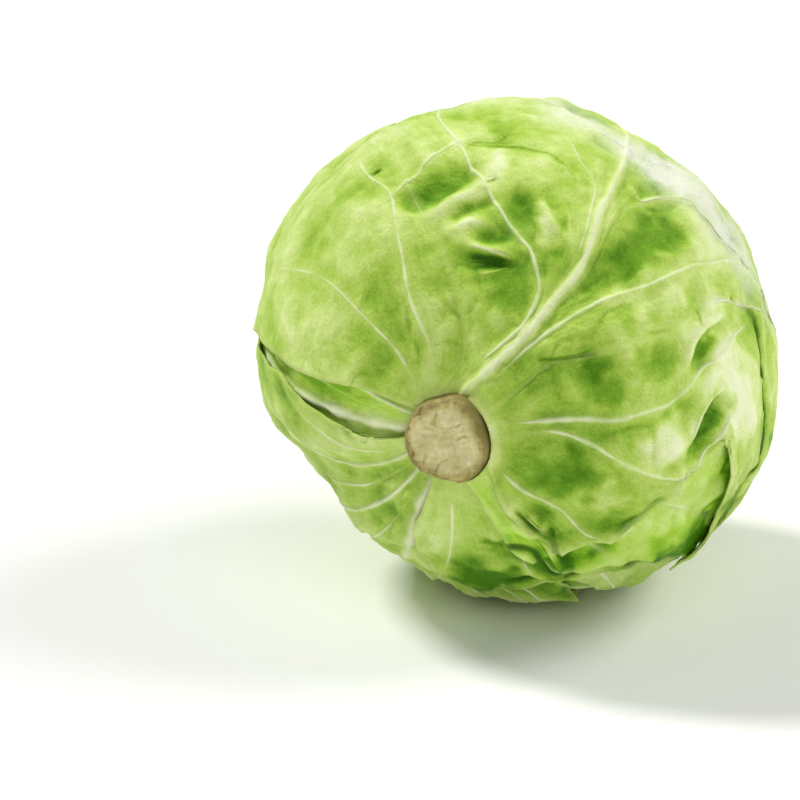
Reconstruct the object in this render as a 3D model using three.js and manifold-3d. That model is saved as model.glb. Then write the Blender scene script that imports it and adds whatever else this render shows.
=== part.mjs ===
// A whole green cabbage, cut from its root and lying on its side.
// A stalk runs into a dense heart, and six wrapper leaves grow from the stalk and
// close round the heart one over the other. Every leaf is a thin closed blade with a
// raised midrib, raised side veins and a waved margin.
// Millimetres and degrees, +Z up. The stalk end points towards -Y and a little to -X.

import * as THREE from 'three';
import { mergeVertices } from 'three/addons/utils/BufferGeometryUtils.js';
import Module from 'manifold-3d';

const wasm = await Module();
wasm.setup();

// ---- the head ----
const headCentre = new THREE.Vector3(3.41, 7.16, 94.5);
const stalkHeading = 18;          // how far the stalk end is turned from -Y towards -X
const heartRadius = 91;
const stalkDimple = 0.1;          // how far the head sinks in round the stalk
const stalkDimpleReach = 24;
const crownFlat = 0.02;           // how much flatter the head is at its crown
const crownFlatReach = 45;

// ---- the stalk ----
const stalkFromMiddle = 99;       // cut end, measured along the stalk from the middle
const stalkProfile = [            // [distance from the middle, radius]
  [stalkFromMiddle, 15.5], [97.5, 17], [88, 17.4], [70, 15], [40, 11.5], [0, 7.5], [-18, 4],
];
const stalkSides = 20;
const meshGap = 0.35;             // clearance between pieces that grow together

// ---- the wrapper leaves ----
const bladeThickness = 1;
const bladeGap = 1.3;             // between one leaf and what lies under it
const leafFoot = 12;              // degrees from the stalk's axis to where a leaf starts
const midribHeight = 3;
const midribHalfWidth = 4.5;
const veinHeight = 1.3;
const veinHalfWidth = 3.2;
const crestTaper = 0.8;           // how much of a vein's height is gone at the margin
const flankTaper = 0.6;           // how much of its width is gone there
const flankShare = 0.3;           // a vein takes up to this share of the way to its neighbour
const crestReach = 0.03;          // share of a leaf's width over which a crest lifts the next leaf
const sideStep = 0.002;           // share of a leaf's width over which its width is measured
const bladePuff = 0.9;            // the blade swells this much between two veins
const puffStart = 0.25;           // and is swollen in full from this share of its length
const freeBlade = 0.12;           // the share of the blade that lifts towards its margin
const freeStart = 0.3;            // beyond the foot, where the stalk holds it
const marginWaves = 6.5;          // waves along a leaf's margin
const slantWaves = 2.5;           // the same waves along its sides
const waveMean = 0.55;
const waveSwing = 0.45;
const fanLead = 0.45;             // how far a line runs on before it bends to the margin
const fanTurn = 0.7;              // how much of its turn round the stalk it starts with
const leafRows = 16;              // steps from the foot of a leaf to its margin
const shortLeafRows = 12;
const topLeafRows = 18;
const topLeafMarginStep = 15;     // its lines are this far apart at the margin, or less

// ---- the flat spot that the head rests on ----
const restReach = 13;             // degrees from straight down to the spot's edge
const restStep = 2.3;             // one leaf's share of height over it

// ---- the height map that each leaf is laid over ----
const mapStep = 2;
const mapRows = 180 / mapStep;
const mapColumns = 360 / mapStep;
const bridgeReach = 8;            // a leaf bridges hollows narrower than this
const easeReach = 4;
const heightSamples = 150;        // places along and across a leaf that raise the map
const heartDetail = 8;

const rad = THREE.MathUtils.degToRad;
const deg = THREE.MathUtils.radToDeg;
const smooth = THREE.MathUtils.smoothstep;

// Directions from the head's middle: polar angle th from the stalk's axis, turn ph round
// it, where 0 is to the right (+X) and 90 is up.
const stalkAxis = new THREE.Vector3(-Math.sin(rad(stalkHeading)), -Math.cos(rad(stalkHeading)), 0);
const rightAxis = new THREE.Vector3(Math.cos(rad(stalkHeading)), -Math.sin(rad(stalkHeading)), 0);
const upAxis = new THREE.Vector3(0, 0, 1);

function direction(th, ph) {
  const sine = Math.sin(rad(th));
  return new THREE.Vector3()
    .addScaledVector(stalkAxis, Math.cos(rad(th)))
    .addScaledVector(rightAxis, sine * Math.cos(rad(ph)))
    .addScaledVector(upAxis, sine * Math.sin(rad(ph)));
}

function polarAngles(dir) {
  const th = deg(Math.acos(THREE.MathUtils.clamp(dir.dot(stalkAxis), -1, 1)));
  const ph = deg(Math.atan2(dir.dot(upAxis), dir.dot(rightAxis)));
  return [th, (ph + 360) % 360];
}

// A flat chart of the head round the point (th, ph): x degrees towards greater ph,
// y degrees away from the stalk.
function chart(th, ph) {
  const middle = direction(th, ph);
  const away = direction(th + 90, ph);
  const across = direction(90, ph + 90);
  return (x, y) => {
    const reach = Math.hypot(x, y);
    const sine = reach > 0 ? Math.sin(rad(reach)) / reach : 0;
    return middle.clone().multiplyScalar(Math.cos(rad(reach)))
      .addScaledVector(across, x * sine)
      .addScaledVector(away, y * sine);
  };
}

// ---- heights over the head, kept on a grid of directions ----
class HeightMap {
  constructor(heightAt) {
    this.values = new Float64Array(mapRows * mapColumns);
    for (let i = 0; i < mapRows; i++) {
      for (let j = 0; j < mapColumns; j++) {
        this.values[i * mapColumns + j] = heightAt((i + 0.5) * mapStep, j * mapStep);
      }
    }
  }

  at(dir) {
    const [th, ph] = polarAngles(dir);
    const row = THREE.MathUtils.clamp(th / mapStep - 0.5, 0, mapRows - 1.001);
    const column = ph / mapStep;
    const i = Math.floor(row);
    const j = Math.floor(column);
    const read = (di, dj) => this.values[(i + di) * mapColumns + (j + dj) % mapColumns];
    const nearRow = THREE.MathUtils.lerp(read(0, 0), read(0, 1), column - j);
    const farRow = THREE.MathUtils.lerp(read(1, 0), read(1, 1), column - j);
    return THREE.MathUtils.lerp(nearRow, farRow, row - i);
  }

  // Each cell takes combine() of all the cells within reach of it.
  gather(reach, combine) {
    const result = new Float64Array(this.values.length);
    const rowReach = Math.floor(reach / mapStep);
    for (let i = 0; i < mapRows; i++) {
      const th = (i + 0.5) * mapStep;
      for (let j = 0; j < mapColumns; j++) {
        const near = [];
        for (let k = Math.max(0, i - rowReach); k <= Math.min(mapRows - 1, i + rowReach); k++) {
          const otherTh = (k + 0.5) * mapStep;
          const cosine = (Math.cos(rad(reach)) - Math.cos(rad(th)) * Math.cos(rad(otherTh)))
            / (Math.sin(rad(th)) * Math.sin(rad(otherTh)));
          if (cosine >= 1) {
            near.push(this.values[k * mapColumns + j]);
            continue;
          }
          const turn = deg(Math.acos(Math.max(-1, cosine)));
          const columnReach = Math.min(Math.floor(turn / mapStep), mapColumns / 2);
          for (let m = -columnReach; m <= columnReach; m++) {
            near.push(this.values[k * mapColumns + (j + m + mapColumns) % mapColumns]);
          }
        }
        result[i * mapColumns + j] = combine(near);
      }
    }
    this.values = result;
    return this;
  }

  copy() {
    const twin = new HeightMap(() => 0);
    twin.values.set(this.values);
    return twin;
  }

  raiseTo(dir, height) {
    const [th, ph] = polarAngles(dir);
    const i = Math.min(Math.floor(th / mapStep), mapRows - 1);
    const j = Math.round(ph / mapStep) % mapColumns;
    const cell = i * mapColumns + j;
    this.values[cell] = Math.max(this.values[cell], height);
  }
}

const highest = (near) => near.reduce((most, value) => Math.max(most, value), 0);
const average = (near) => near.reduce((sum, value) => sum + value, 0) / near.length;

// The head is pressed flat where it rests. A layer that passes the spot lies on its own
// level there, and comes no lower anywhere else.
function pressedFlat(level, dir, radius) {
  if (level === undefined || dir.z >= 0) return radius;
  const flat = (headCentre.z - level) / -dir.z;
  const fromDown = deg(Math.acos(Math.min(-dir.z, 1)));
  return fromDown < restReach ? flat : Math.min(radius, flat);
}

// ---- closed bodies ----
function bodyFrom(positions, faces) {
  const geometry = new THREE.BufferGeometry();
  geometry.setAttribute('position', new THREE.Float32BufferAttribute(positions, 3));
  geometry.setIndex(faces);
  return geometry;
}

function solidFrom(geometry) {
  const plain = geometry.clone();
  plain.deleteAttribute('normal');
  plain.deleteAttribute('uv');
  const merged = mergeVertices(plain, 1e-4);
  return new wasm.Manifold(new wasm.Mesh({
    numProp: 3,
    vertProperties: new Float32Array(merged.attributes.position.array),
    triVerts: new Uint32Array(merged.index.array),
  }));
}

function geometryFrom(solid) {
  const mesh = solid.getMesh();
  return bodyFrom(Array.from(mesh.vertProperties), Array.from(mesh.triVerts));
}

// ---- the stalk: a tapering core with its cut end outside ----
function stalkGeometry(clearance) {
  const profile = stalkProfile.map(([along, radius]) => new THREE.Vector2(radius + clearance, along));
  const [cutEnd] = stalkProfile[0];
  const [innerEnd] = stalkProfile[stalkProfile.length - 1];
  profile.unshift(new THREE.Vector2(0, cutEnd + clearance));
  profile[1].y += clearance;
  profile[profile.length - 1].y -= clearance;
  profile.push(new THREE.Vector2(0, innerEnd - clearance));
  const geometry = new THREE.LatheGeometry(profile.reverse(), stalkSides);
  const turn = new THREE.Quaternion().setFromUnitVectors(new THREE.Vector3(0, 1, 0), stalkAxis);
  return geometry.applyQuaternion(turn);
}

// ---- the heart: tightly packed inner leaves, whose last edges stand out at the crown ----
const heartLeaves = [             // [th, ph of its middle, half width, half length, step]
  [120, 30, 62, 58, 1.5],
  [125, 150, 58, 55, 2.2],
  [128, 265, 50, 52, 2.9],
];
const heartMargin = 5;            // a margin's edge rounds down over this many degrees
const heartRestLevel = 2 * restStep;

function chartPlace(th, ph, dir) {
  const reach = deg(Math.acos(THREE.MathUtils.clamp(dir.dot(direction(th, ph)), -1, 1)));
  const x = dir.dot(direction(90, ph + 90));
  const y = dir.dot(direction(th + 90, ph));
  const length = Math.hypot(x, y) || 1;
  return [reach * x / length, reach * y / length];
}

function heartHeight(th, ph) {
  const dir = direction(th, ph);
  const dimple = stalkDimple * Math.exp(-((th / stalkDimpleReach) ** 2));
  const flat = crownFlat * Math.exp(-(((180 - th) / crownFlatReach) ** 2));
  let height = heartRadius * (1 - dimple - flat);
  for (const [leafTh, leafPh, halfWidth, halfLength, step] of heartLeaves) {
    const [x, y] = chartPlace(leafTh, leafPh, dir);
    const edge = Math.hypot(x / halfWidth, y / halfLength);
    const inside = 1 - smooth(edge, 1 - heartMargin / halfWidth, 1);
    const rib = Math.exp(-((x / 3.5) ** 2)) * smooth(halfLength - y, 0, halfLength);
    height = Math.max(height, heartRadius * (1 - dimple - flat) + inside * (step + rib));
  }
  return pressedFlat(heartRestLevel, dir, height);
}

function heartGeometry() {
  const ball = new THREE.IcosahedronGeometry(1, heartDetail);
  const place = ball.attributes.position;
  const dir = new THREE.Vector3();
  for (let i = 0; i < place.count; i++) {
    dir.fromBufferAttribute(place, i).normalize();
    const [th, ph] = polarAngles(dir);
    dir.multiplyScalar(heartHeight(th, ph));
    place.setXYZ(i, dir.x, dir.y, dir.z);
  }
  return geometryFrom(solidFrom(ball).subtract(solidFrom(stalkGeometry(meshGap))));
}

// ---- leaves ----
// A leaf's blade is a fan: line s runs from the foot (t = 0) to the margin (t = 1).
// leafPlace(s, t) gives the chart position in degrees, with s from 0 at the right edge
// to 1 at the left edge.

// Where a leaf leaves the stalk, turned from its midrib.
function footPlace([th, ph], turn) {
  return new THREE.Vector2(...chartPlace(th, ph, direction(leafFoot, ph + turn)));
}

// A fan drawn from the leaf's outline alone. foot is the turn round the stalk over
// which it is attached, and margin is its outline from the right edge to the left.
function fanLeaf({ centre, foot, margin }) {
  const outline = new THREE.SplineCurve(margin.map(([x, y]) => new THREE.Vector2(x, y)));
  return (s, t) => {
    const turn = THREE.MathUtils.lerp(foot[0], foot[1], s);
    const start = footPlace(centre, turn);
    const end = outline.getPointAt(s);
    const lead = start.distanceTo(end) * fanLead;
    const heading = rad(turn * fanTurn);
    const bend = new THREE.Vector2(
      start.x + lead * Math.sin(heading), start.y + lead * Math.cos(heading));
    return new THREE.QuadraticBezierCurve(start, bend, end).getPoint(t);
  };
}

// A fan drawn through given lines, each from the foot to the margin.
function linedLeaf({ centre, foot, lines }) {
  const curves = lines.map((line, i) => {
    const turn = THREE.MathUtils.lerp(foot[0], foot[1], i / (lines.length - 1));
    const points = line.map(([x, y]) => new THREE.Vector2(x, y));
    const curve = new THREE.SplineCurve([footPlace(centre, turn), ...points]);
    curve.arcLengthDivisions = 400;
    return curve;
  });
  return (s, t) => {
    const place = Math.min(s * (curves.length - 1), curves.length - 1.0001);
    const i = Math.floor(place);
    return curves[i].getPointAt(t).lerp(curves[i + 1].getPointAt(t), place - i);
  };
}

// The lines of the top leaf, from its lower right edge over the midrib to its left edge.
const topLeafLines = [
  [[-24, -79], [-38, -79], [-51, -75]],
  [[-22, -73], [-33, -72], [-43, -70], [-53, -66], [-62, -61]],
  [[-22, -66], [-35, -62], [-47, -58], [-57, -53], [-66, -47]],
  [[-18, -61], [-29, -56], [-38, -53.5], [-46, -50], [-53, -44], [-58, -36], [-62, -28]],
  [[-17, -60], [-27, -53], [-36, -45], [-44, -36], [-51, -27], [-60, -20]],
  [[-16, -61], [-25, -53], [-32, -47], [-37, -40], [-40, -32], [-42, -23], [-48, -15],
    [-60, -14], [-74, -15], [-88, -18], [-102, -24]],
  [[-8, -58], [-10, -50], [-15, -44], [-22, -34], [-27, -27], [-31, -20], [-37, -11],
    [-47, -6], [-62, -5], [-80, -6], [-97, -12]],
  [[-6, -57], [-8, -46], [-14, -36], [-21, -25], [-27, -14], [-36, -4], [-50, 1],
    [-66, 3], [-84, 8]],
  [[-3, -52], [-5, -45], [-10, -33], [-14, -26], [-18, -17], [-25, -2], [-31, 11],
    [-38, 14], [-46, 17]],
  [[-1.7, -50], [-1.7, -33], [-1.7, -15], [-4, -4], [-10, 5], [-16, 9], [-23, 15],
    [-33, 26], [-40, 37]],
  [[0, -51], [0, -33], [1, -12], [4, 6], [9, 25], [12, 48], [12, 78]],
  [[1.8, -50], [1.8, -33], [3, -17], [6, -9], [15, 2], [22, 8], [30, 20], [37, 42],
    [42, 72]],
  [[3, -50], [4, -40], [7, -34], [11, -29], [18, -25], [26, -20], [34, -13],
    [48, 2], [57, 21], [67, 40], [79, 56]],
  [[12, -60], [20, -50], [30, -41], [42, -33], [55, -22], [68, -6], [81, 14], [94, 36]],
  [[18, -62], [30, -52], [41, -38], [49, -26], [57, -20], [67, -10], [80, 0], [106, 12]],
  [[24, -66], [42, -58], [60, -48], [80, -40], [102, -38]],
  [[20, -76], [34, -75.5], [49, -76], [64, -72], [78, -66]],
];
const topLeafVeins = [1, 3, 5, 6, 8, 11, 12, 14];   // the lines above that carry a vein
const topLeafMidrib = 10;

// The other leaves, from the innermost to the outermost. foot is the turn round the stalk
// over which a leaf is attached, and margin is its outline, both from its edge of lesser
// ph to the other. restLevel is how high its outer face lies over the surface, on a leaf
// that passes the resting spot.
const leafPlans = [
  {
    name: 'left_leaf', colour: 0xa9cc66, centre: [80, 180], foot: [-70, 70],
    margin: [[-37, -55], [-58, -32], [-67, -2], [-58, 36], [-31, 62], [0, 70], [33, 57],
      [54, 30], [59, -6], [49, -34], [33, -60]],
    rows: leafRows, linesPerCell: 3, ridge: 0.7, lift: 1.8, restLevel: restStep,
  },
  {
    name: 'bottom_leaf', colour: 0x8db548, centre: [75, 250], foot: [-65, 60],
    margin: [[-31, -58], [-53, -41], [-70, -14], [-73, 19], [-55, 52], [-26, 72], [7, 70],
      [34, 56], [44, 32], [38, 11], [37, -8], [39, -21], [36, -35], [26, -51]],
    rows: leafRows, linesPerCell: 3, ridge: 0.7, lift: 1.8, restLevel: 0,
  },
  {
    name: 'back_leaf', colour: 0x9cc65a, centre: [85, -10], foot: [-62, 62],
    margin: [[-29, -61], [-35, -42], [-45, -31], [-52, -16], [-55, 3], [-56, 25], [-44, 47],
      [-17, 61], [6, 65], [33, 59], [55, 39], [60, 3], [48, -31], [30, -62]],
    rows: leafRows, linesPerCell: 3, ridge: 0.5, lift: 1.6,
  },
  {
    name: 'lower_right_leaf', colour: 0xa2c957, centre: [45, -55], foot: [-60, 62],
    margin: [[-24, -28], [-31, -18], [-33, -6], [-29, 4], [-20, 3], [-13, -3], [-6, 1],
      [1, 4], [9, 17], [26, 11], [30, -9], [21, -29]],
    rows: shortLeafRows, linesPerCell: 1, ridge: 0.3, lift: 2,
  },
  {
    name: 'right_leaf', colour: 0xb4d873, centre: [52, 0], foot: [-66, 64],
    margin: [[-26, -36], [-31, -28], [-36, -18], [-35, -8], [-38, 6], [-44, 21], [-31, 22],
      [-18, 25], [0, 24], [15, 14], [25, 0], [27, -20], [20, -37]],
    rows: shortLeafRows, linesPerCell: 1, ridge: 0.4, lift: 2,
  },
];

const fanCells = 6;               // an outline-drawn leaf has a vein between every two cells

function fanVeinList() {
  const veins = [];
  for (let i = 1; i < fanCells; i++) {
    const isMidrib = i === fanCells / 2;
    veins.push({
      s: i / fanCells,
      height: isMidrib ? midribHeight : veinHeight,
      halfWidth: isMidrib ? midribHalfWidth : veinHalfWidth,
    });
  }
  return veins;
}

function fanPlainLines(linesPerCell) {
  const lines = [0, 1];
  for (let i = 0; i < fanCells; i++) {
    for (let k = 1; k <= linesPerCell; k++) lines.push((i + k / (linesPerCell + 1)) / fanCells);
  }
  return lines;
}

function topLeafVeinList() {
  const last = topLeafLines.length - 1;
  const veins = topLeafVeins.map((i) => ({
    s: i / last, height: veinHeight, halfWidth: veinHalfWidth,
  }));
  veins.push({ s: topLeafMidrib / last, height: midribHeight, halfWidth: midribHalfWidth });
  return veins.sort((a, b) => a.s - b.s);
}

// Columns of the blade's mesh, by their share s of its width: the plain ones, and for each
// vein a crest with a flank on either side. room is how far off its crest a flank may stand.
function bladeColumns(veins, plainLines) {
  const columns = plainLines.map((s) => ({ s, side: 0 }));
  for (const vein of veins) {
    const others = [...plainLines, ...veins.filter((other) => other !== vein).map(({ s }) => s)];
    const nearest = Math.min(...others.map((s) => Math.abs(s - vein.s)));
    for (const side of [-1, 0, 1]) {
      columns.push({ s: vein.s, side, vein, room: flankShare * nearest });
    }
  }
  return columns.sort((a, b) => a.s - b.s || a.side - b.side);
}

// How high the blade swells between its veins, and stands off at its free margin.
function bladeRise(plan, veins, s, t) {
  const marks = [0, ...veins.map((vein) => vein.s), 1];
  let puff = 0;
  for (let i = 0; i + 1 < marks.length; i++) {
    if (s > marks[i] && s < marks[i + 1]) {
      const middle = (s - marks[i]) / (marks[i + 1] - marks[i]);
      puff = bladePuff * Math.sin(Math.PI * middle) ** 2;
    }
  }
  const toMargin = Math.min((1 - t) / freeBlade, s / freeBlade, (1 - s) / freeBlade);
  const free = 1 - smooth(toMargin, 0, 1);
  const wave = waveMean + waveSwing * Math.sin(2 * Math.PI * (marginWaves * s + slantWaves * t));
  return puff * smooth(t, 0, puffStart) + plan.lift * free * wave * smooth(t, 0, freeStart);
}

// The triangles of a blade whose outer points come first, row by row, and its inner ones
// after them: both faces, the foot and the margin, and the two side edges.
function bladeFaces(rows, width) {
  const inner = (rows + 1) * width;
  const faces = [];
  const quad = (a, b, c, d) => faces.push(a, b, c, a, c, d);
  for (let i = 0; i < rows; i++) {
    for (let j = 0; j + 1 < width; j++) {
      const a = i * width + j;
      quad(a, a + 1, a + 1 + width, a + width);
      quad(inner + a, inner + a + width, inner + a + 1 + width, inner + a + 1);
    }
  }
  for (let j = 0; j + 1 < width; j++) {
    const last = rows * width + j;
    quad(j + 1, j, inner + j, inner + j + 1);
    quad(last, last + 1, inner + last + 1, inner + last);
  }
  for (let i = 0; i < rows; i++) {
    const left = i * width;
    const right = left + width - 1;
    quad(left, left + width, inner + left + width, inner + left);
    quad(right + width, right, inner + right, inner + right + width);
  }
  return faces;
}

// One leaf, laid over everything inside it. place(s, t) is its fan, and heights is the map
// of the pieces inside, which the finished leaf raises for the next one.
function leafGeometry(plan, place, veins, plainLines, heights) {
  const toHead = chart(plan.centre[0], plan.centre[1]);
  const directionAt = (s, t) => {
    const spot = place(s, t);
    return toHead(spot.x, spot.y);
  };
  const under = heights.copy().gather(bridgeReach, highest).gather(easeReach, average);
  const innerLevel = plan.restLevel === undefined ? undefined : plan.restLevel + bladeThickness;
  const facesAt = (s, t, dir, ridge) => {
    const inner = under.at(dir) + bladeGap + bladeRise(plan, veins, s, t);
    const outer = inner + bladeThickness + ridge;
    return [pressedFlat(innerLevel, dir, inner), pressedFlat(plan.restLevel, dir, outer)];
  };
  const crestHeight = (vein, t) => plan.ridge * vein.height * (1 - crestTaper * t);
  const flankOffset = ({ s, side, vein, room }, t) => {
    const spread = directionAt(s + sideStep, t).distanceTo(directionAt(s - sideStep, t));
    const leafWidth = spread / (2 * sideStep) * heartRadius;
    return side * Math.min(vein.halfWidth * (1 - flankTaper * t) / leafWidth, room);
  };

  const columns = bladeColumns(veins, plainLines);
  const outerFace = [];
  const innerFace = [];
  for (let i = 0; i <= plan.rows; i++) {
    const t = i / plan.rows;
    for (const column of columns) {
      const isCrest = column.vein && column.side === 0;
      const s = column.s + (column.side === 0 ? 0 : flankOffset(column, t));
      const dir = directionAt(s, t);
      const [inner, outer] = facesAt(s, t, dir, isCrest ? crestHeight(column.vein, t) : 0);
      innerFace.push(...dir.clone().multiplyScalar(inner).toArray());
      outerFace.push(...dir.clone().multiplyScalar(outer).toArray());
    }
  }

  for (let i = 0; i <= heightSamples; i++) {
    for (let j = 0; j <= heightSamples; j++) {
      const s = j / heightSamples;
      const t = i / heightSamples;
      const dir = directionAt(s, t);
      const crests = veins.map((vein) => (
        crestHeight(vein, t) * Math.max(0, 1 - Math.abs(s - vein.s) / crestReach)));
      heights.raiseTo(dir, facesAt(s, t, dir, Math.max(0, ...crests))[1]);
    }
  }
  return bodyFrom([...outerFace, ...innerFace], bladeFaces(plan.rows, columns.length));
}

function outwardFacing(geometry) {
  const index = geometry.index.array;
  const place = geometry.attributes.position;
  const corner = [0, 1, 2].map(() => new THREE.Vector3());
  let volume = 0;
  for (let i = 0; i < index.length; i += 3) {
    corner.forEach((point, k) => point.fromBufferAttribute(place, index[i + k]));
    volume += corner[0].dot(corner[1].clone().cross(corner[2]));
  }
  if (volume < 0) {
    const flipped = Array.from(index);
    for (let i = 0; i < flipped.length; i += 3) {
      [flipped[i], flipped[i + 1]] = [flipped[i + 1], flipped[i]];
    }
    geometry.setIndex(flipped);
  }
  return geometry;
}

// ---- put together ----
const head = new THREE.Group();
const leafRoughness = 0.45;

function addPiece(name, geometry, colour, roughness) {
  const material = new THREE.MeshStandardMaterial({ color: colour, roughness, metalness: 0 });
  const mesh = new THREE.Mesh(geometry, material);
  mesh.name = name;
  mesh.position.copy(headCentre);
  head.add(mesh);
}

addPiece('stalk', stalkGeometry(0), 0xe6e2b4, 0.7);
addPiece('heart', heartGeometry(), 0xd6e6a4, 0.5);

const heights = new HeightMap(heartHeight);
for (const plan of leafPlans) {
  const geometry = leafGeometry(
    plan, fanLeaf(plan), fanVeinList(), fanPlainLines(plan.linesPerCell), heights);
  addPiece(plan.name, outwardFacing(geometry), plan.colour, leafRoughness);
}

const topPlan = {
  name: 'top_leaf', colour: 0x9cc455, centre: [78, 60], foot: [-86, 88], lines: topLeafLines,
  rows: topLeafRows, ridge: 1, lift: 2.2,
};
const topCells = topLeafLines.length - 1;
const topPlainLines = [];
for (let i = 0; i <= topCells; i++) {
  const carriesVein = topLeafVeins.includes(i) || i === topLeafMidrib;
  if (!carriesVein) topPlainLines.push(i / topCells);
  if (i < topCells) {
    const [x, y] = topLeafLines[i].at(-1);
    const [nextX, nextY] = topLeafLines[i + 1].at(-1);
    const parts = 1 + Math.ceil(Math.hypot(nextX - x, nextY - y) / topLeafMarginStep);
    for (let k = 1; k < parts; k++) topPlainLines.push((i + k / parts) / topCells);
  }
}
const topGeometry = leafGeometry(
  topPlan, linedLeaf(topPlan), topLeafVeinList(), topPlainLines, heights);
addPiece(topPlan.name, outwardFacing(topGeometry), topPlan.colour, leafRoughness);

export default head;
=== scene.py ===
import functools
import math

import bmesh
import bpy
import numpy as np
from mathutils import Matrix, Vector
from mathutils.kdtree import KDTree


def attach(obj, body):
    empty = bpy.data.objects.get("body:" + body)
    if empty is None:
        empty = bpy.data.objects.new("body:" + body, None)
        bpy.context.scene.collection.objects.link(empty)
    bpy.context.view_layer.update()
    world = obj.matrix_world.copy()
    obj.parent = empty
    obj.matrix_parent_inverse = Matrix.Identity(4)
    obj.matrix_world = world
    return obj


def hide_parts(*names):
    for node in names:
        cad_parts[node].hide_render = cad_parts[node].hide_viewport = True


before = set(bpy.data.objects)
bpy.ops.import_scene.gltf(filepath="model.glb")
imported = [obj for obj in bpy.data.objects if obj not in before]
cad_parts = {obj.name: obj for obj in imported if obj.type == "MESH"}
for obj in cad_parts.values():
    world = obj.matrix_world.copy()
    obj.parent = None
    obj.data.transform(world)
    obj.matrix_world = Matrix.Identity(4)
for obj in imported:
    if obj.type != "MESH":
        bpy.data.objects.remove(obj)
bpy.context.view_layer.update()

# ---------------------------------------------------------------------------
# THE STALK
# The core that every leaf grows from: firm pale flesh in a tougher rind, broken off
# the root and trimmed with a knife. Its end has dried, browned and cracked a little.
# ---------------------------------------------------------------------------
MM = 0.001
head_middle = np.array([3.41, 7.16, 94.5])
stalk_heading = math.radians(18)
stalk_axis = np.array([-math.sin(stalk_heading), -math.cos(stalk_heading), 0.0])
# radius and distance out from the head's middle (mm), from the cut face to the tip
stalk_profile = [(0.0, 97.6), (3.0, 97.7), (7.0, 97.9), (11.0, 98.2), (14.2, 98.6), (15.6, 98.4),
                 (16.6, 97.4), (17.2, 95.0), (17.5, 90.0), (17.0, 82.0), (15.0, 70.0),
                 (11.5, 40.0), (7.5, 0.0), (4.0, -17.0), (0.0, -18.0)]
cut_face_edges = 6
cut_face_starts, cut_face_level = 96.0, 97.5
pith_radius, rind_radius = 12.0, 17.0
stalk_sides = 128


def mesh_object(name, bm):
    mesh = bpy.data.meshes.new(name)
    bm.to_mesh(mesh)
    bm.free()
    for face in mesh.polygons:
        face.use_smooth = True
    piece = bpy.data.objects.new(name, mesh)
    bpy.context.collection.objects.link(piece)
    return piece


def linear(hex_colour):
    channels = [int(hex_colour[i:i + 2], 16) / 255 for i in (1, 3, 5)]
    return [c / 12.92 if c <= 0.04045 else ((c + 0.055) / 1.055) ** 2.4 for c in channels] + [1.0]


def add_node(material, kind, settings=None, output=0, **inputs):
    """One node of a material, with its settings. Its inputs go by name, or by number as
    i0 and i1, and are linked or set. A colour ramp's stops are (position, colour)."""
    node = material.node_tree.nodes.new("ShaderNode" + kind)
    settings = dict(settings or {})
    stops = settings.pop("stops", [])
    for key, value in settings.items():
        setattr(node, key, value)
    if stops:
        elements = node.color_ramp.elements
        for position, _ in stops[1:-1]:
            elements.new(position)
        for element, (position, colour) in zip(elements, stops):
            element.position, element.color = position, linear(colour)
    for key, value in inputs.items():
        numbered = key[0] == "i" and key[1:].isdigit()
        socket = node.inputs[int(key[1:]) if numbered else key.replace("_", " ")]
        if isinstance(value, bpy.types.NodeSocket):
            material.node_tree.links.new(value, socket)
        else:
            socket.default_value = value
    return node.outputs[output]


def ripple(places, wavelength, seed, waves=18):
    """A smooth random field of about unit height, with bumps one wavelength (mm) apart."""
    rng = np.random.default_rng(seed)
    headings = rng.normal(size=(waves, 3))
    headings /= np.linalg.norm(headings, axis=1)[:, None]
    phases = rng.uniform(0, 2 * math.pi, waves)
    stretches = rng.uniform(0.75, 1.35, waves)
    total = np.zeros(places.shape[:-1])
    for heading, phase, stretch in zip(headings, phases, stretches):
        total += np.cos(places @ heading * (2 * math.pi / (wavelength * stretch)) + phase)
    return total / math.sqrt(waves / 2)


def smooth(value, low, high):
    """0 up to low, 1 from high on, and an even rise between them."""
    part = np.clip((value - low) / (high - low), 0.0, 1.0)
    return part * part * (3 - 2 * part)


def stalk_material():
    """Cut and dried stalk: dull woody flesh, paler in the pith and browned at the rind.
    It gives the eye a rough tan face with short fibres and an olive-brown edge."""
    material = bpy.data.materials.new("cut_stalk_flesh")
    material.use_nodes = True
    shader = material.node_tree.nodes["Principled BSDF"]
    link = material.node_tree.links.new
    node = functools.partial(add_node, material)
    noise, add_share = {"noise_dimensions": "3D"}, {"operation": "MULTIPLY_ADD"}
    fibre_mm, blotch_mm = 10 / 9, 20 / 3
    browns = [(0.3, "#ECE8C0"), (0.5, "#DED7A2"), (0.72, "#C3B878"), (0.95, "#AFA25C"),
              (1.0, "#93874A")]

    place = node("TexCoord", output="Object")
    rind = node("Attribute", {"attribute_name": "rind"}, output="Fac")
    fibres = node("TexNoise", noise, Vector=place, Scale=1000 / fibre_mm, Detail=4.0,
                  Roughness=0.65)
    blotches = node("TexNoise", noise, Vector=place, Scale=1000 / blotch_mm, Detail=4.0,
                    Roughness=0.6)
    browning = node("Math", add_share, i0=blotches, i1=0.7, i2=rind)
    browning = node("Math", add_share, i0=fibres, i1=0.3, i2=browning)
    link(node("ValToRGB", {"stops": browns}, Fac=browning), shader.inputs["Base Color"])
    shader.inputs["Roughness"].default_value = 0.75
    shader.inputs["Subsurface Weight"].default_value = 0.1
    shader.inputs["Subsurface Radius"].default_value = (0.003, 0.002, 0.001)
    bump = node("Bump", Strength=0.6, Distance=0.0005, Height=fibres)
    link(bump, shader.inputs["Normal"])
    return material


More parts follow.
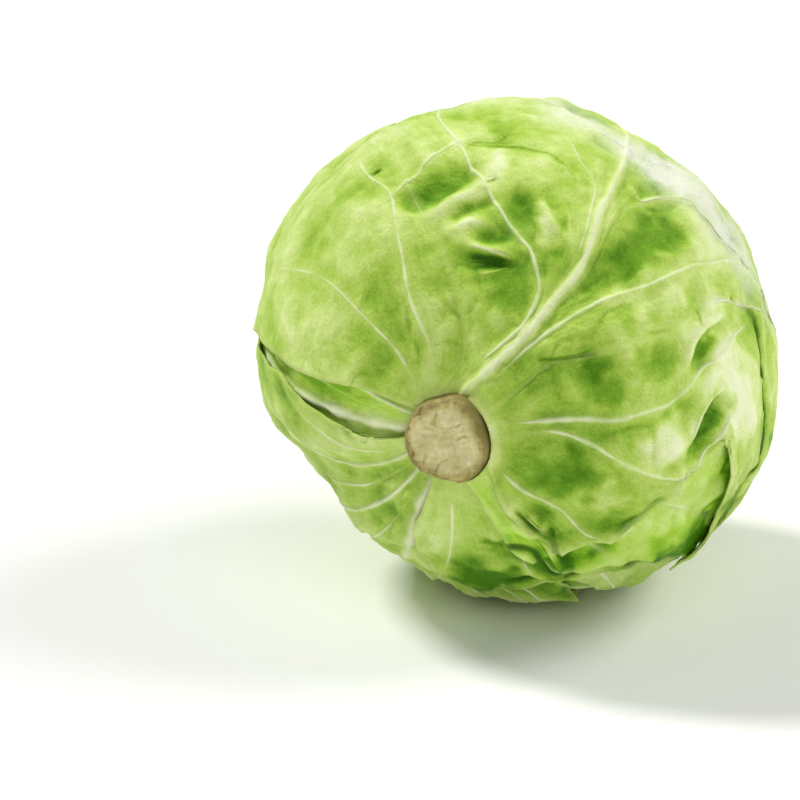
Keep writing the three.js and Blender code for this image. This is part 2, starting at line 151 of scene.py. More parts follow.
def make_stalk():
    bm = bmesh.new()
    profile = [bm.verts.new((radius, 0.0, along)) for radius, along in stalk_profile]
    edges = [bm.edges.new(pair) for pair in zip(profile, profile[1:])]
    bmesh.ops.subdivide_edges(bm, edges=edges[:cut_face_edges], cuts=4)
    bmesh.ops.spin(bm, geom=bm.verts[:] + bm.edges[:], cent=(0, 0, 0), axis=(0, 0, 1),
                   angle=2 * math.pi, steps=stalk_sides, use_merge=True)
    bmesh.ops.remove_doubles(bm, verts=bm.verts[:], dist=0.001)
    bmesh.ops.recalc_face_normals(bm, faces=bm.faces[:])

    # lumps down the rind, and knife marks, waves and dry cracks in the cut face
    places = np.array([v.co for v in bm.verts])
    radius = np.hypot(places[:, 0], places[:, 1])
    lumps = 0.035 * ripple(places * (1, 1, 0.3), 22, 4) * smooth(places[:, 2], 60, 90)
    cut_face = smooth(places[:, 2], cut_face_starts, cut_face_level)
    flat = places * (1, 1, 0)
    cracks = np.exp(-((ripple(flat, 11, 7) / 0.16) ** 2)) * smooth(ripple(flat, 17, 8), 0.2, 1.0)
    relief = (0.45 * ripple(flat * (1, 0.25, 1), 3.4, 5) + 0.5 * ripple(flat, 12, 6)
              + 0.25 * ripple(flat, 2.2, 9) - 0.9 * cracks)
    places[:, :2] *= (1 + lumps)[:, None]
    places[:, 2] += relief * cut_face * (0.55 + 0.6 * smooth(radius, 8, 16))
    rind = 0.5 * smooth(radius, pith_radius, rind_radius) + 0.25 * cracks * cut_face + 0.08
    for vertex, place in zip(bm.verts, places):
        vertex.co = place

    turn = Vector((0, 0, 1)).rotation_difference(Vector(stalk_axis)).to_matrix().to_4x4()
    bmesh.ops.transform(bm, matrix=turn, verts=bm.verts[:])
    bmesh.ops.translate(bm, vec=Vector(head_middle), verts=bm.verts[:])
    bmesh.ops.scale(bm, vec=(MM, MM, MM), verts=bm.verts[:])
    piece = mesh_object("cut_stalk", bm)
    layer = piece.data.attributes.new("rind", "FLOAT", "POINT")
    layer.data.foreach_set("value", rind.astype(np.float32))
    piece.data.materials.append(stalk_material())
    return piece


stalk = make_stalk()
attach(stalk, "root")
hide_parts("stalk")

# ---------------------------------------------------------------------------
# THE HEART
# Inner leaves folded so tightly over each other that they make one dense ball, a
# little longer on one slant than the other. Its last leaves overlap at the crown.
# ---------------------------------------------------------------------------
right_axis = np.array([math.cos(stalk_heading), -math.sin(stalk_heading), 0.0])
up_axis = np.array([0.0, 0.0, 1.0])
heart_radius = 91.0
outer_radius = 96.0
stalk_dimple, stalk_dimple_reach = 0.075, 24.0
crown_flat, crown_flat_reach = 0.02, 45.0
rest_step = 2.3
rest_reach = 13.0
leaf_foot = 10.2
blade_thickness = 0.8
layer_gap = 0.9

# the front is the side that a viewer sees who looks down on the head by this much
front_tilt = math.radians(22)
front_axis = np.array([0.0, -math.cos(front_tilt), math.sin(front_tilt)])
front_up = np.array([0.0, math.sin(front_tilt), math.cos(front_tilt)])
front_across = np.array([1.0, 0.0, 0.0])
front_chart = (front_axis, front_across, front_up)

# how far the ball leans out from round, as shares of its radius: the lobes it has
# round the front's outline, their share, and where the first one points (degrees)
lean_all_round = 0.010
lean_lobes = [(1, 0.024, 167), (2, 0.056, -43), (3, 0.019, 54)]
# how far below its middle the lean fades out, as shares of the radius
lean_fades = (0.7, 0.95)

map_step = 1.0
map_th = (np.arange(int(180 / map_step)) + 0.5) * map_step
map_ph = np.arange(int(360 / map_step)) * map_step


def direction(th, ph):
    """A direction from the head's middle, in degrees: th away from the stalk's cut end,
    ph round the stalk, with 0 to the right and 90 up."""
    th, ph = np.radians(th), np.radians(ph)
    sine = np.sin(th)
    return (np.multiply.outer(np.cos(th), stalk_axis)
            + np.multiply.outer(sine * np.cos(ph), right_axis)
            + np.multiply.outer(sine * np.sin(ph), up_axis))


def head_angles(directions):
    """The th and ph of directions."""
    th = np.degrees(np.arccos(np.clip(directions @ stalk_axis, -1, 1)))
    ph = np.degrees(np.arctan2(directions @ up_axis, directions @ right_axis)) % 360
    return th, ph


def leaf_chart(centre):
    """The axes of a flat chart of the head round a leaf's centre: its middle, across
    the leaf, and away from the stalk."""
    th, ph = centre
    return direction(th, ph), direction(90, ph + 90), direction(th + 90, ph)


def on_chart(directions, middle, across, along):
    """Places on a flat chart, in degrees across and along it from its middle."""
    reach = np.degrees(np.arccos(np.clip(directions @ middle, -1, 1)))
    x, y = directions @ across, directions @ along
    length = np.maximum(np.hypot(x, y), 1e-9)
    return reach * x / length, reach * y / length


def from_chart(x, y, middle, across, along):
    """The directions of places on a flat chart."""
    reach = np.maximum(np.hypot(x, y), 1e-9)
    sine = np.sin(np.radians(reach)) / reach
    return (np.multiply.outer(np.cos(np.radians(reach)), middle)
            + np.multiply.outer(x * sine, across) + np.multiply.outer(y * sine, along))


def lean(directions):
    """The ball isn't quite round: seen from the front it is longer from the upper left
    to the lower right, and fuller at the left. Where it rests it is left as it is."""
    x, y = directions @ front_across, directions @ front_up
    turn = np.arctan2(y, x)
    out = lean_all_round + sum(share * np.cos(lobes * (turn - math.radians(towards)))
                               for lobes, share, towards in lean_lobes)
    return 1 + out * (x * x + y * y) * (1 - smooth(-directions[..., 2], *lean_fades))


def pressed_flat(level, directions, radius):
    """The head has settled flat where it rests: straight below its middle each layer
    that reaches the table lies on its own level, and no part of it comes lower."""
    down = np.maximum(-directions[..., 2], 1e-6)
    plane = (head_middle[2] - level) / down
    below = down > math.cos(math.radians(rest_reach))
    return np.where(below, plane, np.minimum(radius, plane))


def heart_height(th, ph):
    dimple = stalk_dimple * np.exp(-((th / stalk_dimple_reach) ** 2))
    flat = crown_flat * np.exp(-(((180 - th) / crown_flat_reach) ** 2))
    directions = direction(th, ph)
    height = heart_radius * (1 - dimple - flat) * lean(directions)
    return pressed_flat(2 * rest_step, directions, height)


class Cover:
    """How far out the layers reach so far, in every direction from the head's middle."""

    def __init__(self, heights):
        self.heights = heights

    def at(self, directions):
        th, ph = head_angles(directions)
        row = np.clip(th / map_step - 0.5, 0, len(map_th) - 1.001)
        column = ph / map_step
        i, j = row.astype(int), column.astype(int) % len(map_ph)
        down, side = row - i, column - np.floor(column)
        beside = (j + 1) % len(map_ph)
        near = self.heights[i, j] * (1 - side) + self.heights[i, beside] * side
        far = self.heights[i + 1, j] * (1 - side) + self.heights[i + 1, beside] * side
        return near * (1 - down) + far * down

    def gathered(self, reach, combine):
        """Each cell takes combine() of the cells within reach (degrees) of it."""
        result = np.empty_like(self.heights)
        for i, th in enumerate(np.radians(map_th)):
            rows = []
            for k in range(max(0, i - int(reach / map_step)),
                           min(len(map_th), i + int(reach / map_step) + 1)):
                other = math.radians(map_th[k])
                cosine = ((math.cos(math.radians(reach)) - math.cos(th) * math.cos(other))
                          / (math.sin(th) * math.sin(other)))
                turn = math.degrees(math.acos(min(1.0, max(-1.0, cosine))))
                half = min(int(turn / map_step), len(map_ph) // 2 - 1)
                ring = np.concatenate([self.heights[k, -half:] if half else self.heights[k, :0],
                                       self.heights[k], self.heights[k, :half]])
                windows = np.lib.stride_tricks.sliding_window_view(ring, 2 * half + 1)
                rows.append(combine(windows, axis=1))
            result[i] = combine(np.array(rows), axis=0)
        return Cover(result)

    def raise_to(self, directions, radius):
        th, ph = head_angles(directions)
        i = np.minimum((th / map_step).astype(int), len(map_th) - 1)
        j = np.round(ph / map_step).astype(int) % len(map_ph)
        np.maximum.at(self.heights, (i, j), radius)


def crumple(places, seed):
    """Swellings, facets and narrow creases, as in a blade that grew too big for its place."""
    soft = 0.5 * ripple(places, 44, seed) + 0.3 * ripple(places, 21, seed + 1)
    facets = 0.85 * (0.6 - np.abs(ripple(places, 34, seed + 5))) \
        + 0.5 * (0.6 - np.abs(ripple(places, 17, seed + 6)))
    crease = np.exp(-np.abs(ripple(places, 30, seed + 2) / 0.14) ** 1.5)
    broken = smooth(ripple(places, 36, seed + 3), 0.0, 0.9)
    return (soft + facets - crease * broken + 0.15 * ripple(places, 9, seed + 4)
            + 0.07 * ripple(places, 5, seed + 8))


def spline(points, fractions, steps=24):
    """Places along a smooth curve through points, at fractions of its length."""
    points = np.asarray(points, float)
    padded = np.vstack([2 * points[0] - points[1], points, 2 * points[-1] - points[-2]])
    fine = []
    for a, b, c, d in zip(padded, padded[1:], padded[2:], padded[3:]):
        u = np.linspace(0, 1, steps, endpoint=False)[:, None]
        fine.append(0.5 * (2 * b + (c - a) * u + (2 * a - 5 * b + 4 * c - d) * u ** 2
                           + (3 * b - a - 3 * c + d) * u ** 3))
    fine = np.vstack(fine + [points[-1:]])
    run = np.concatenate([[0], np.cumsum(np.linalg.norm(np.diff(fine, axis=0), axis=1))])
    wanted = np.asarray(fractions) * run[-1]
    return np.stack([np.interp(wanted, run, fine[:, 0]), np.interp(wanted, run, fine[:, 1])], -1)


def foot_place(centre, turn):
    """Where a leaf's line leaves the stalk, turned (degrees) from the leaf's own side."""
    foot = direction(leaf_foot, centre[1] + turn)[None, :]
    return np.array(on_chart(foot, *leaf_chart(centre)))[:, 0]


def row_spacing(rows):
    """Rows of a leaf's mesh, closer together near its foot."""
    crowding = 0.22
    u = np.linspace(0, 1, rows + 1)
    return (1 - crowding) * u + crowding * u ** 3


def fan_lines(centre, foot, margin, cells, rows):
    """Lines of a leaf that fan out from its foot to its margin, as chart places: each
    starts off at its share of the foot's turn, for its share of the way."""
    turn_share, lead_share = 0.7, 0.45
    ends = spline(margin, np.linspace(0, 1, cells + 1))
    t = row_spacing(rows)[:, None]
    lines = []
    for end, s in zip(ends, np.linspace(0, 1, cells + 1)):
        turn = foot[0] + (foot[1] - foot[0]) * s
        start = foot_place(centre, turn)
        lead = np.linalg.norm(end - start) * lead_share
        heading = math.radians(turn * turn_share)
        bend = start + lead * np.array([math.sin(heading), math.cos(heading)])
        lines.append((1 - t) ** 2 * start + 2 * t * (1 - t) * bend + t ** 2 * end)
    return np.array(lines)


def stroke_field(x, y, strokes, fall=None):
    """Heights of listed folds and dents: each has places in front-chart degrees, a
    half width and a height in millimetres. Unless all are given one fall, a narrow one
    has the sharper crest."""
    narrow_mm, narrow_fall, wide_fall = 4, 1.45, 2.0
    total = np.zeros_like(x)
    for points, half_width, height in strokes:
        nearest = np.full_like(x, 1e9)
        ends = points if len(points) > 1 else points * 2
        for (ax, ay), (bx, by) in zip(ends, ends[1:]):
            run = (bx - ax) ** 2 + (by - ay) ** 2
            along = np.clip(((x - ax) * (bx - ax) + (y - ay) * (by - ay)) / max(run, 1e-9), 0, 1)
            away = np.hypot(x - ax - along * (bx - ax), y - ay - along * (by - ay))
            nearest = np.minimum(nearest, away)
        power = fall or (narrow_fall if half_width < narrow_mm else wide_fall)
        total += height * np.exp(-((nearest * math.radians(outer_radius) / half_width) ** power))
    return total


def front_paths(strokes, path_places=90):
    """Strokes on the front chart as rows of places on the head, each with its power."""
    paths = []
    for points, power in strokes:
        chart = spline(points, np.linspace(0, 1, path_places))
        paths.append((outer_radius * from_chart(chart[:, 0], chart[:, 1], *front_chart), power))
    return paths


def thin_lines(places, paths, reach):
    """Signed distance (mm) to the nearest of some thin lines, and how strong it is there:
    each path is a row of places, and a line fades over its first and last sixth."""
    if not paths:
        return np.full(places.shape[:-1], reach * 2), np.zeros(places.shape[:-1])
    tree = KDTree(sum(len(path) for path, _ in paths))
    where = []
    for number, (path, _) in enumerate(paths):
        for k, point in enumerate(path):
            tree.insert(Vector(point), len(where))
            where.append((number, k))
    tree.balance()
    side = np.full(places.shape[:-1], reach * 2)
    strength = np.zeros(places.shape[:-1])
    for index in np.ndindex(side.shape):
        _, found, distance = tree.find(Vector(places[index]))
        if distance > reach:
            continue
        number, k = where[found]
        path, power = paths[number]
        start = path[min(k, len(path) - 2)]
        ahead = path[min(k, len(path) - 2) + 1] - start
        ahead = ahead / np.linalg.norm(ahead)
        out = np.cross(ahead, start / np.linalg.norm(start))
        side[index] = (places[index] - start) @ out
        taper = min(1.0, 6 * min(k, len(path) - 1 - k) / (len(path) - 1) + 0.03)
        beyond = max(0.0, distance - abs(side[index]) - 0.6)
        strength[index] = power * taper * (1 - smooth(distance, reach * 0.45, reach)) \
            * math.exp(-(beyond ** 2))
    return side, strength


# What a leaf's plan may hold besides its centre, its seed, its veins and its mesh_mm
# (how wide its mesh columns may be), and what each is when the plan doesn't give it.
plain_leaf = {
    "nick": 0.02,         # how far the margin is drawn back here and there, as a share
    "puff": 0.5,          # how far the blade swells out between its veins (mm)
    "crumple": 0.4,       # how deep its swellings and creases are (mm)
    "calm": 0.0,          # how much less crumpled the seen side is, as a share
    "lift": 1.0,          # how far the margin would stand off where nothing holds it (mm)
    "free_mm": 11.0,      # how wide the margin is that can stand off
    "waves": 0.0,         # how high it would wave there (mm)
    "held_from": None,    # the share of the lines past which it is held, or None for all
    "rim_hold": 0.0,      # how much more it is held at the head's outline, as a share
    "settle": 2.5,        # how far the layer under it is evened out (degrees)
    "rest_level": None,   # how high it lies where the head rests (mm)
    "folds": [],          # strokes: its own folds and dents
    "echo": [],           # strokes: dents of the leaf above that press into it
    "grooves": [],        # thin lines where one fold closes over the next
    "groove_step": 0.0,   # how far one side of a groove stands above the other (mm)
    "mottle": 1.0,        # how strongly its green varies from place to place
    "tones": [],          # strokes: painted shade and light, and where it is paler or deeper green
    "bloom": [],          # strokes: where its wax is left, painted as a pale sheen
    "wide_until": 1.0,    # the share of a line's length that mesh_mm counts for
}
# What all leaves share. Columns of mesh from line to line:
fewest_columns, most_columns = 4, 40
vein_crowding = 1.4
# in millimetres
least_gap = 0.2
edge_span = 300.0
foot_plain, foot_full = 2.0, 26.0
groove_depth, groove_half, groove_reach = 2.6, 1.3, 9.0
crease_widest, crease_reach = 2.0, 3.2
# in degrees from the middle of the front
rim_from, rim_full = 58, 80
seen_until, unseen_from = 95, 125
# as shares
nicked_from = 0.72
held_share = 0.8
echo_share = 1.05
# how steeply a tone ends at its half width
tone_fall = 2.6


def mesh_columns(plan, gaps, rows):
    """The columns of a leaf's mesh, closer together beside a vein: for each one the line
    before it, and how far it is on to the next line."""
    line_of, part_of = [], []
    for line, gap in enumerate(gaps):
        wide = gap[:int(rows * plan["wide_until"])].max()
        count = int(np.clip(math.ceil(wide / plan["mesh_mm"]), fewest_columns, most_columns))
        u = np.arange(count) / count
        left, right = line in plan["veins"], line + 1 in plan["veins"]
        if left and right:
            u = np.where(u < 0.5, 0.5 * (2 * u) ** vein_crowding,
                         1 - 0.5 * (2 - 2 * u) ** vein_crowding)
        elif left:
            u = u ** vein_crowding
        elif right:
            u = 1 - (1 - u) ** vein_crowding
        line_of += [line] * count
        part_of += list(u)
    return np.array(line_of + [len(gaps) - 1]), np.array(part_of + [1.0])


def vein_ridges(plan, line_places, places):
    """Veins as low rounded ridges, uneven and thinner towards their ends. Gives the
    distance (mm) to the nearest one, its half width there, the height of the ridges,
    and how near the thickest one is."""
    veins = plan["veins"]
    thickest = max(veins, key=lambda line: veins[line][0])
    far_mm, far_widths, thinnest = 60.0, 99.0, 0.12
    u = row_spacing(line_places.shape[1] - 1)
    rib_mm = np.full(places.shape[:-1], far_mm)
    rib_widths = np.full_like(rib_mm, far_widths)
    rib_half = np.full_like(rib_mm, 0.3)
    ridges = np.zeros_like(rib_mm)
    for line, (half_width, height, start, end) in veins.items():
        nearest = (places @ line_places[line].T).argmax(-1)
        heading = np.gradient(line_places[line], axis=0)
        heading = (heading / np.linalg.norm(heading, axis=1)[:, None])[nearest]
        offset = places - line_places[line][nearest]
        offset = offset - (offset * heading).sum(-1)[..., None] * heading
        away = np.linalg.norm(offset, axis=-1)
        wander = 1 + 0.16 * ripple(line_places[line], 9, plan["seed"] + 50 + line)
        taper = (1 - 0.55 * np.clip(u / end, 0, 1)) * smooth(u, start - 0.05, start + 0.06)
        taper = (taper * (1 - smooth(u, end - 0.22, end + 0.02)) * wander)[nearest]
        width = np.maximum(half_width * taper, thinnest)
        nearer = away / width < rib_widths
        rib_widths = np.where(nearer, away / width, rib_widths)
        rib_half = np.where(nearer, width, rib_half)
        rib_mm = np.where(nearer, away, rib_mm)
        crest = 2.6 if line == thickest else 2
        ridge = np.exp(-((away / np.maximum(width * 1.15, 0.8)) ** crest))
        ridges = np.maximum(ridges, height * np.clip(taper, 0, 1.2) * ridge)
        if line == thickest:
            main = np.exp(-((away / (half_width * 1.35)) ** 2)) * np.clip(taper, 0, 1)
    return rib_mm, rib_half, ridges, main


def margin_distance(places):
    """How far (mm) each place of a leaf is from its margin, over the head."""
    margin = np.concatenate([places[0], places[:, -1], places[-1]]).T
    closest = np.array([(column @ margin).max(-1) for column in places]) / outer_radius ** 2
    return outer_radius * np.arccos(np.clip(closest, -1, 1))


def blade_mesh(name, outer, grain_mm, looks):
    """A blade through a grid of places in millimetres, with a wall on its inner side.
    Its material reads grain_mm as a UV map and looks as attributes."""
    columns, rows = outer.shape[0], outer.shape[1] - 1
    bm = bmesh.new()
    bmesh.ops.create_grid(bm, x_segments=columns - 1, y_segments=rows, size=1)
    piece = mesh_object(name, bm)
    mesh = piece.data
    grid = np.empty(len(mesh.vertices) * 3)
    mesh.vertices.foreach_get("co", grid)
    grid = grid.reshape(-1, 3)
    column = np.rint((grid[:, 0] + 1) / 2 * (columns - 1)).astype(int)
    row = np.rint((grid[:, 1] + 1) / 2 * rows).astype(int)
    mesh.vertices.foreach_set("co", (outer * MM)[column, row].ravel())

    corner = np.empty(len(mesh.loops), int)
    mesh.loops.foreach_get("vertex_index", corner)
    grain = mesh.uv_layers.new(name="grain")
    grain.data.foreach_set("uv", (grain_mm[column, row][corner] * MM).ravel())
    for key, values in looks.items():
        layer = mesh.attributes.new(key, "FLOAT", "POINT")
        layer.data.foreach_set("value", values[column, row].astype(np.float32))
    mesh.update()

    # the grid is turned over if most of a sample of its faces look inwards
    sample_step = 97
    bm = bmesh.new()
    bm.from_mesh(mesh)
    some = list(bm.faces)[::sample_step]
    outward = sum(face.normal.dot(face.calc_center_median() / MM - Vector(head_middle)) > 0
                  for face in some)
    if outward * 2 < len(some):
        bmesh.ops.reverse_faces(bm, faces=bm.faces[:])
    bm.to_mesh(mesh)
    bm.free()
    wall = piece.modifiers.new("blade", "SOLIDIFY")
    wall.thickness = blade_thickness * MM
    wall.offset = -1
    return piece


def leaf_blade(name, plan, lines):
    """A leaf laid over what is under it: a grid from foot to margin, closer beside its
    veins, whose height is the layer below plus swellings, folds, veins and a waved edge.
    plan["veins"] maps a line's number to (half width, height, start, end)."""
    plan = {**plain_leaf, **plan}
    seed, chart = plan["seed"], leaf_chart(plan["centre"])
    rows, cells = lines.shape[1] - 1, len(lines) - 1
    line_places = from_chart(lines[..., 0], lines[..., 1], *chart) * outer_radius
    gaps = np.linalg.norm(np.diff(line_places, axis=0), axis=2)
    line_of, part_of = mesh_columns(plan, gaps, rows)
    part = np.broadcast_to(part_of[:, None], (len(line_of), rows + 1))
    t = np.broadcast_to(row_spacing(rows), part.shape)
    s = (line_of[:, None] + part) / cells
    spots = lines[line_of] * (1 - part[..., None]) + lines[line_of + 1] * part[..., None]
    x, y = spots[..., 0], spots[..., 1]

    # the margin is uneven: the last part of each line is drawn back here and there
    edge_places = np.stack([s * edge_span, np.zeros_like(s), np.zeros_like(s)], -1)
    nick = plan["nick"] * np.clip(0.5 + 0.5 * ripple(edge_places, 26, seed + 7)
                                  + 0.25 * ripple(edge_places, 8, seed + 8), 0, None)
    back = nick * smooth(t, nicked_from, 1.0)
    x, y = x + (x[:, :1] - x) * back, y + (y[:, :1] - y) * back
    directions = from_chart(x, y, *chart)
    places = directions * outer_radius
    front_x, front_y = on_chart(directions, *front_chart)
    front_reach = np.hypot(front_x, front_y)

    rib_mm, rib_half, ridges, main = vein_ridges(plan, line_places, places)
    steps = np.linalg.norm(np.diff(places, axis=1), axis=2)
    line_mm = np.concatenate([np.zeros((len(line_of), 1)), np.cumsum(steps, axis=1)], axis=1)
    edge_mm = margin_distance(places)
    from_foot = smooth(line_mm, foot_plain, foot_full)
    free = (1 - smooth(edge_mm, 0, plan["free_mm"])) * from_foot

    # folds and dents, its own and pressed into it, with closed grooves and sharp creases
    folds = stroke_field(front_x, front_y, plan["folds"])
    echo = np.minimum(stroke_field(front_x, front_y, plan["echo"]), 0) * echo_share
    groove_side, groove = thin_lines(places, front_paths(plan["grooves"]), groove_reach)
    groove_step = np.tanh(groove_side / 1.2) * plan["groove_step"]
    closed = groove_depth * np.exp(-((groove_side / groove_half) ** 2))
    folds = folds + groove * (groove_step - closed)
    sharp = [(points, height) for points, half_width, height in plan["folds"]
             if half_width < crease_widest and len(points) > 1]
    crease_side, crease = thin_lines(places, front_paths(sharp), crease_reach)

    # swellings between the veins, and crumples that are calmer beside them
    puff = plan["puff"] * (1 - np.exp(-((rib_mm / 8) ** 2))) * from_foot
    seen = 1 - smooth(front_reach, seen_until, unseen_from)
    wild = plan["crumple"] * (1 - plan["calm"] * seen)
    quiet = 1 - 0.6 * np.exp(-((rib_mm / 4) ** 2))
    rough = crumple(places, seed) * wild * quiet * from_foot

    # the margin stands off and waves, and far less where it is held
    ruffle = np.clip(0.55 + 0.4 * ripple(places, 34, seed + 3)
                     + 0.2 * ripple(places, 12, seed + 4), -0.05, 1.5)
    waves = plan["waves"] * free * ripple(edge_places, 15, seed + 9)
    held = 1.0 if plan["held_from"] is None else smooth(s, plan["held_from"], 1.0)
    at_rim = smooth(front_reach, rim_from, rim_full)
    loose = (1 - held_share * held) * (1 - plan["rim_hold"] * at_rim)
    rise = puff + rough + folds * from_foot + echo + (plan["lift"] * free * ruffle + waves) * loose

    # it spans the dips of what is under it, and never comes nearer than the least gap
    base = cover.gathered(3.5, np.max).gathered(plan["settle"], np.mean).at(directions)
    close = cover.gathered(1.2, np.max).at(directions)
    radius = np.maximum(base + layer_gap + blade_thickness + rise,
                        close + blade_thickness + least_gap)
    relief = radius - base - layer_gap - blade_thickness - puff
    radius = radius + ridges
    if plan["rest_level"] is not None:
        radius = pressed_flat(plan["rest_level"], directions, radius)
    cover.raise_to(directions, radius)

    # its green varies in wide patches, and painted shade and light go where its strokes say, with
    # strayed edges
    stray = 1.3
    stray_x = front_x + stray * ripple(places, 12, seed + 70)
    stray_y = front_y + stray * ripple(places, 10, seed + 71)
    tone = 0.5 * ripple(places, 62, seed + 11) + 0.35 * ripple(places, 24, seed + 12)
    tone = tone * plan["mottle"] + stroke_field(stray_x, stray_y, plan["tones"], tone_fall)
    bloom = stroke_field(front_x, front_y, plan["bloom"])
    looks = {"rib_mm": rib_mm, "rib_half": rib_half, "main": main, "groove_side": groove_side,
             "groove": groove, "crease_side": crease_side, "crease": crease, "tone": tone,
             "bloom": bloom, "relief": relief, "edge_mm": edge_mm, "line_mm": line_mm}
    return blade_mesh(name, directions * radius[..., None] + head_middle,
                      np.stack([s * edge_span, line_mm], -1), looks)


def leaf_material(name, greens, vein_colour, rim_colour, wax_and_sheen_colour):
    """Living cabbage leaf: a thin green blade under a waxy coat, with pale firm veins.
    It gives the eye a soft sheen, cream veins that run out into the blade, and a fine
    grain. Its colour also carries painted shade in its hollows, creases and closed
    grooves, painted light on its ridges, and a painted pale sheen where wax is left.
    Light goes a little way into it."""
    material = bpy.data.materials.new(name)
    material.use_nodes = True
    shader = material.node_tree.nodes["Principled BSDF"]
    link = material.node_tree.links.new
    node = functools.partial(add_node, material)
    add_share, times = {"operation": "MULTIPLY_ADD"}, {"operation": "MULTIPLY"}
    minus, clamped_times = {"operation": "SUBTRACT"}, {"operation": "MULTIPLY", "use_clamp": True}
    absolute, eased = {"operation": "ABSOLUTE"}, {"interpolation_type": "SMOOTHSTEP"}
    # painted shadow green for the inside of closed grooves
    groove_shadow_green = "#2C5E06"

    leaf = {key: node("Attribute", {"attribute_name": key}, output="Fac")
            for key in ("tone", "relief", "crease_side", "crease", "rib_mm", "rib_half", "main",
                        "line_mm", "edge_mm", "bloom", "groove_side", "groove")}

    # the grain: for each pattern the size of its marks (mm), its detail and roughness
    place = node("TexCoord", output="Object")
    drawn_out = node("Mapping", Vector=node("UVMap", {"uv_map": "grain"}), Scale=(1.0, 0.28, 1.0))
    grain = {key: node("TexNoise", {"noise_dimensions": "3D"}, Vector=vector,
                       Scale=1000 / size_mm, Detail=detail, Roughness=roughness)
             for key, vector, size_mm, detail, roughness in (
                 ("speckle", place, 1.1, 4.0, 0.68), ("ragged", place, 2.2, 3.0, 0.65),
                 ("streak", drawn_out, 3.2, 3.0, 0.6), ("patch", place, 4.0, 3.0, 0.6),
                 ("crinkle", place, 5.0, 3.0, 0.55), ("cloud", place, 9.0, 4.0, 0.6),
                 ("fading", place, 16.0, 2.0, 0.5))}
    wobble = node("Math", minus, i0=grain["ragged"], i1=0.5)
    wobble = node("Math", times, i0=wobble, i1=1.5)
    crinkle = node("Math", minus, i0=grain["crinkle"], i1=0.5)
    crinkle = node("Math", absolute, i0=crinkle)

    # sharp creases, and the veins: soft ragged lines that fade and come back
    crease = node("Math", absolute, i0=leaf["crease_side"])
    crease = node("MapRange", eased, Value=crease, From_Min=0.0, From_Max=1.1,
                  To_Min=1.0, To_Max=0.0)
    crease = node("Math", times, i0=crease, i1=leaf["crease"])
    vein_mm = node("Math", add_share, i0=wobble, i1=0.32, i2=leaf["rib_mm"])
    vein = node("Math", {"operation": "DIVIDE"}, i0=vein_mm, i1=leaf["rib_half"])
    vein = node("MapRange", eased, Value=vein, From_Min=0.1, From_Max=1.7,
                To_Min=1.0, To_Max=0.0)
    thick = node("MapRange", eased, Value=leaf["rib_half"], From_Min=0.12, From_Max=0.5)
    vein = node("Math", times, i0=vein, i1=thick)
    fading = node("MapRange", eased, Value=grain["fading"], From_Min=0.36, From_Max=0.6,
                  To_Min=0.45, To_Max=0.85)
    shown_vein = node("Math", times, i0=vein, i1=fading)

    # the blade: painted shade in its hollows and creases and painted light on its ridges, clouded
    # and streaked
    ridge = node("MapRange", eased, Value=leaf["relief"], From_Min=-2.8, From_Max=2.2)
    shade = -0.3
    for pattern, share in ((leaf["tone"], 0.14), (ridge, 0.55), (grain["cloud"], 0.38),
                           (grain["streak"], 0.24), (grain["speckle"], 0.36),
                           (grain["patch"], 0.2), (crease, 0.2)):
        shade = node("Math", add_share, i0=pattern, i1=share, i2=shade)
    stops = [(i / (len(greens) - 1), green) for i, green in enumerate(greens)]
    blade = node("ValToRGB", {"stops": stops}, Fac=shade)

    # pale flesh spreads from both sides of each vein, from the midrib and from the foot
    flank = node("Math", add_share, i0=grain["streak"], i1=3.0, i2=leaf["rib_mm"])
    flank = node("MapRange", eased, Value=flank, From_Min=1.4, From_Max=5.0,
                 To_Min=0.2, To_Max=0.0)
    midrib_flesh = node("Math", times, i0=leaf["main"], i1=0.8)
    foot = node("Math", add_share, i0=grain["cloud"], i1=12.0, i2=leaf["line_mm"])
    foot = node("MapRange", eased, Value=foot, From_Min=4.0, From_Max=14.0,
                To_Min=0.4, To_Max=0.0)

    # a painted pale sheen where the wax is left, worn off in places; the rim is thin and pale; and
    # a closed groove is painted dark as shade
    worn = node("MapRange", eased, Value=grain["cloud"], From_Min=0.25, From_Max=0.7,
                To_Min=0.45, To_Max=1.0)
    bloom = node("Math", clamped_times, i0=leaf["bloom"], i1=worn)
    bloom = node("Math", times, i0=bloom, i1=0.92)
    rim = node("Math", add_share, i0=wobble, i1=0.5, i2=leaf["edge_mm"])
    rim = node("MapRange", eased, Value=rim, From_Min=0.3, From_Max=2.2, To_Min=0.45, To_Max=0.0)
    # painted shade: the closed groove is darkened along its line
    groove_shadow = node("Math", absolute, i0=leaf["groove_side"])
    groove_shadow = node("MapRange", eased, Value=groove_shadow, From_Min=0.5, From_Max=1.7,
                 To_Min=1.0, To_Max=0.0)
    groove_shadow = node("Math", clamped_times, i0=groove_shadow, i1=leaf["groove"])

    for amount, colour in ((flank, rim_colour), (midrib_flesh, rim_colour), (foot, rim_colour),
                           (shown_vein, vein_colour), (bloom, wax_and_sheen_colour), (rim, rim_colour),
                           (groove_shadow, groove_shadow_green)):
        blade = node("Mix", {"data_type": "RGBA"}, output=2, i0=amount, i6=blade,
                     i7=linear(colour))
    link(blade, shader.inputs["Base Color"])

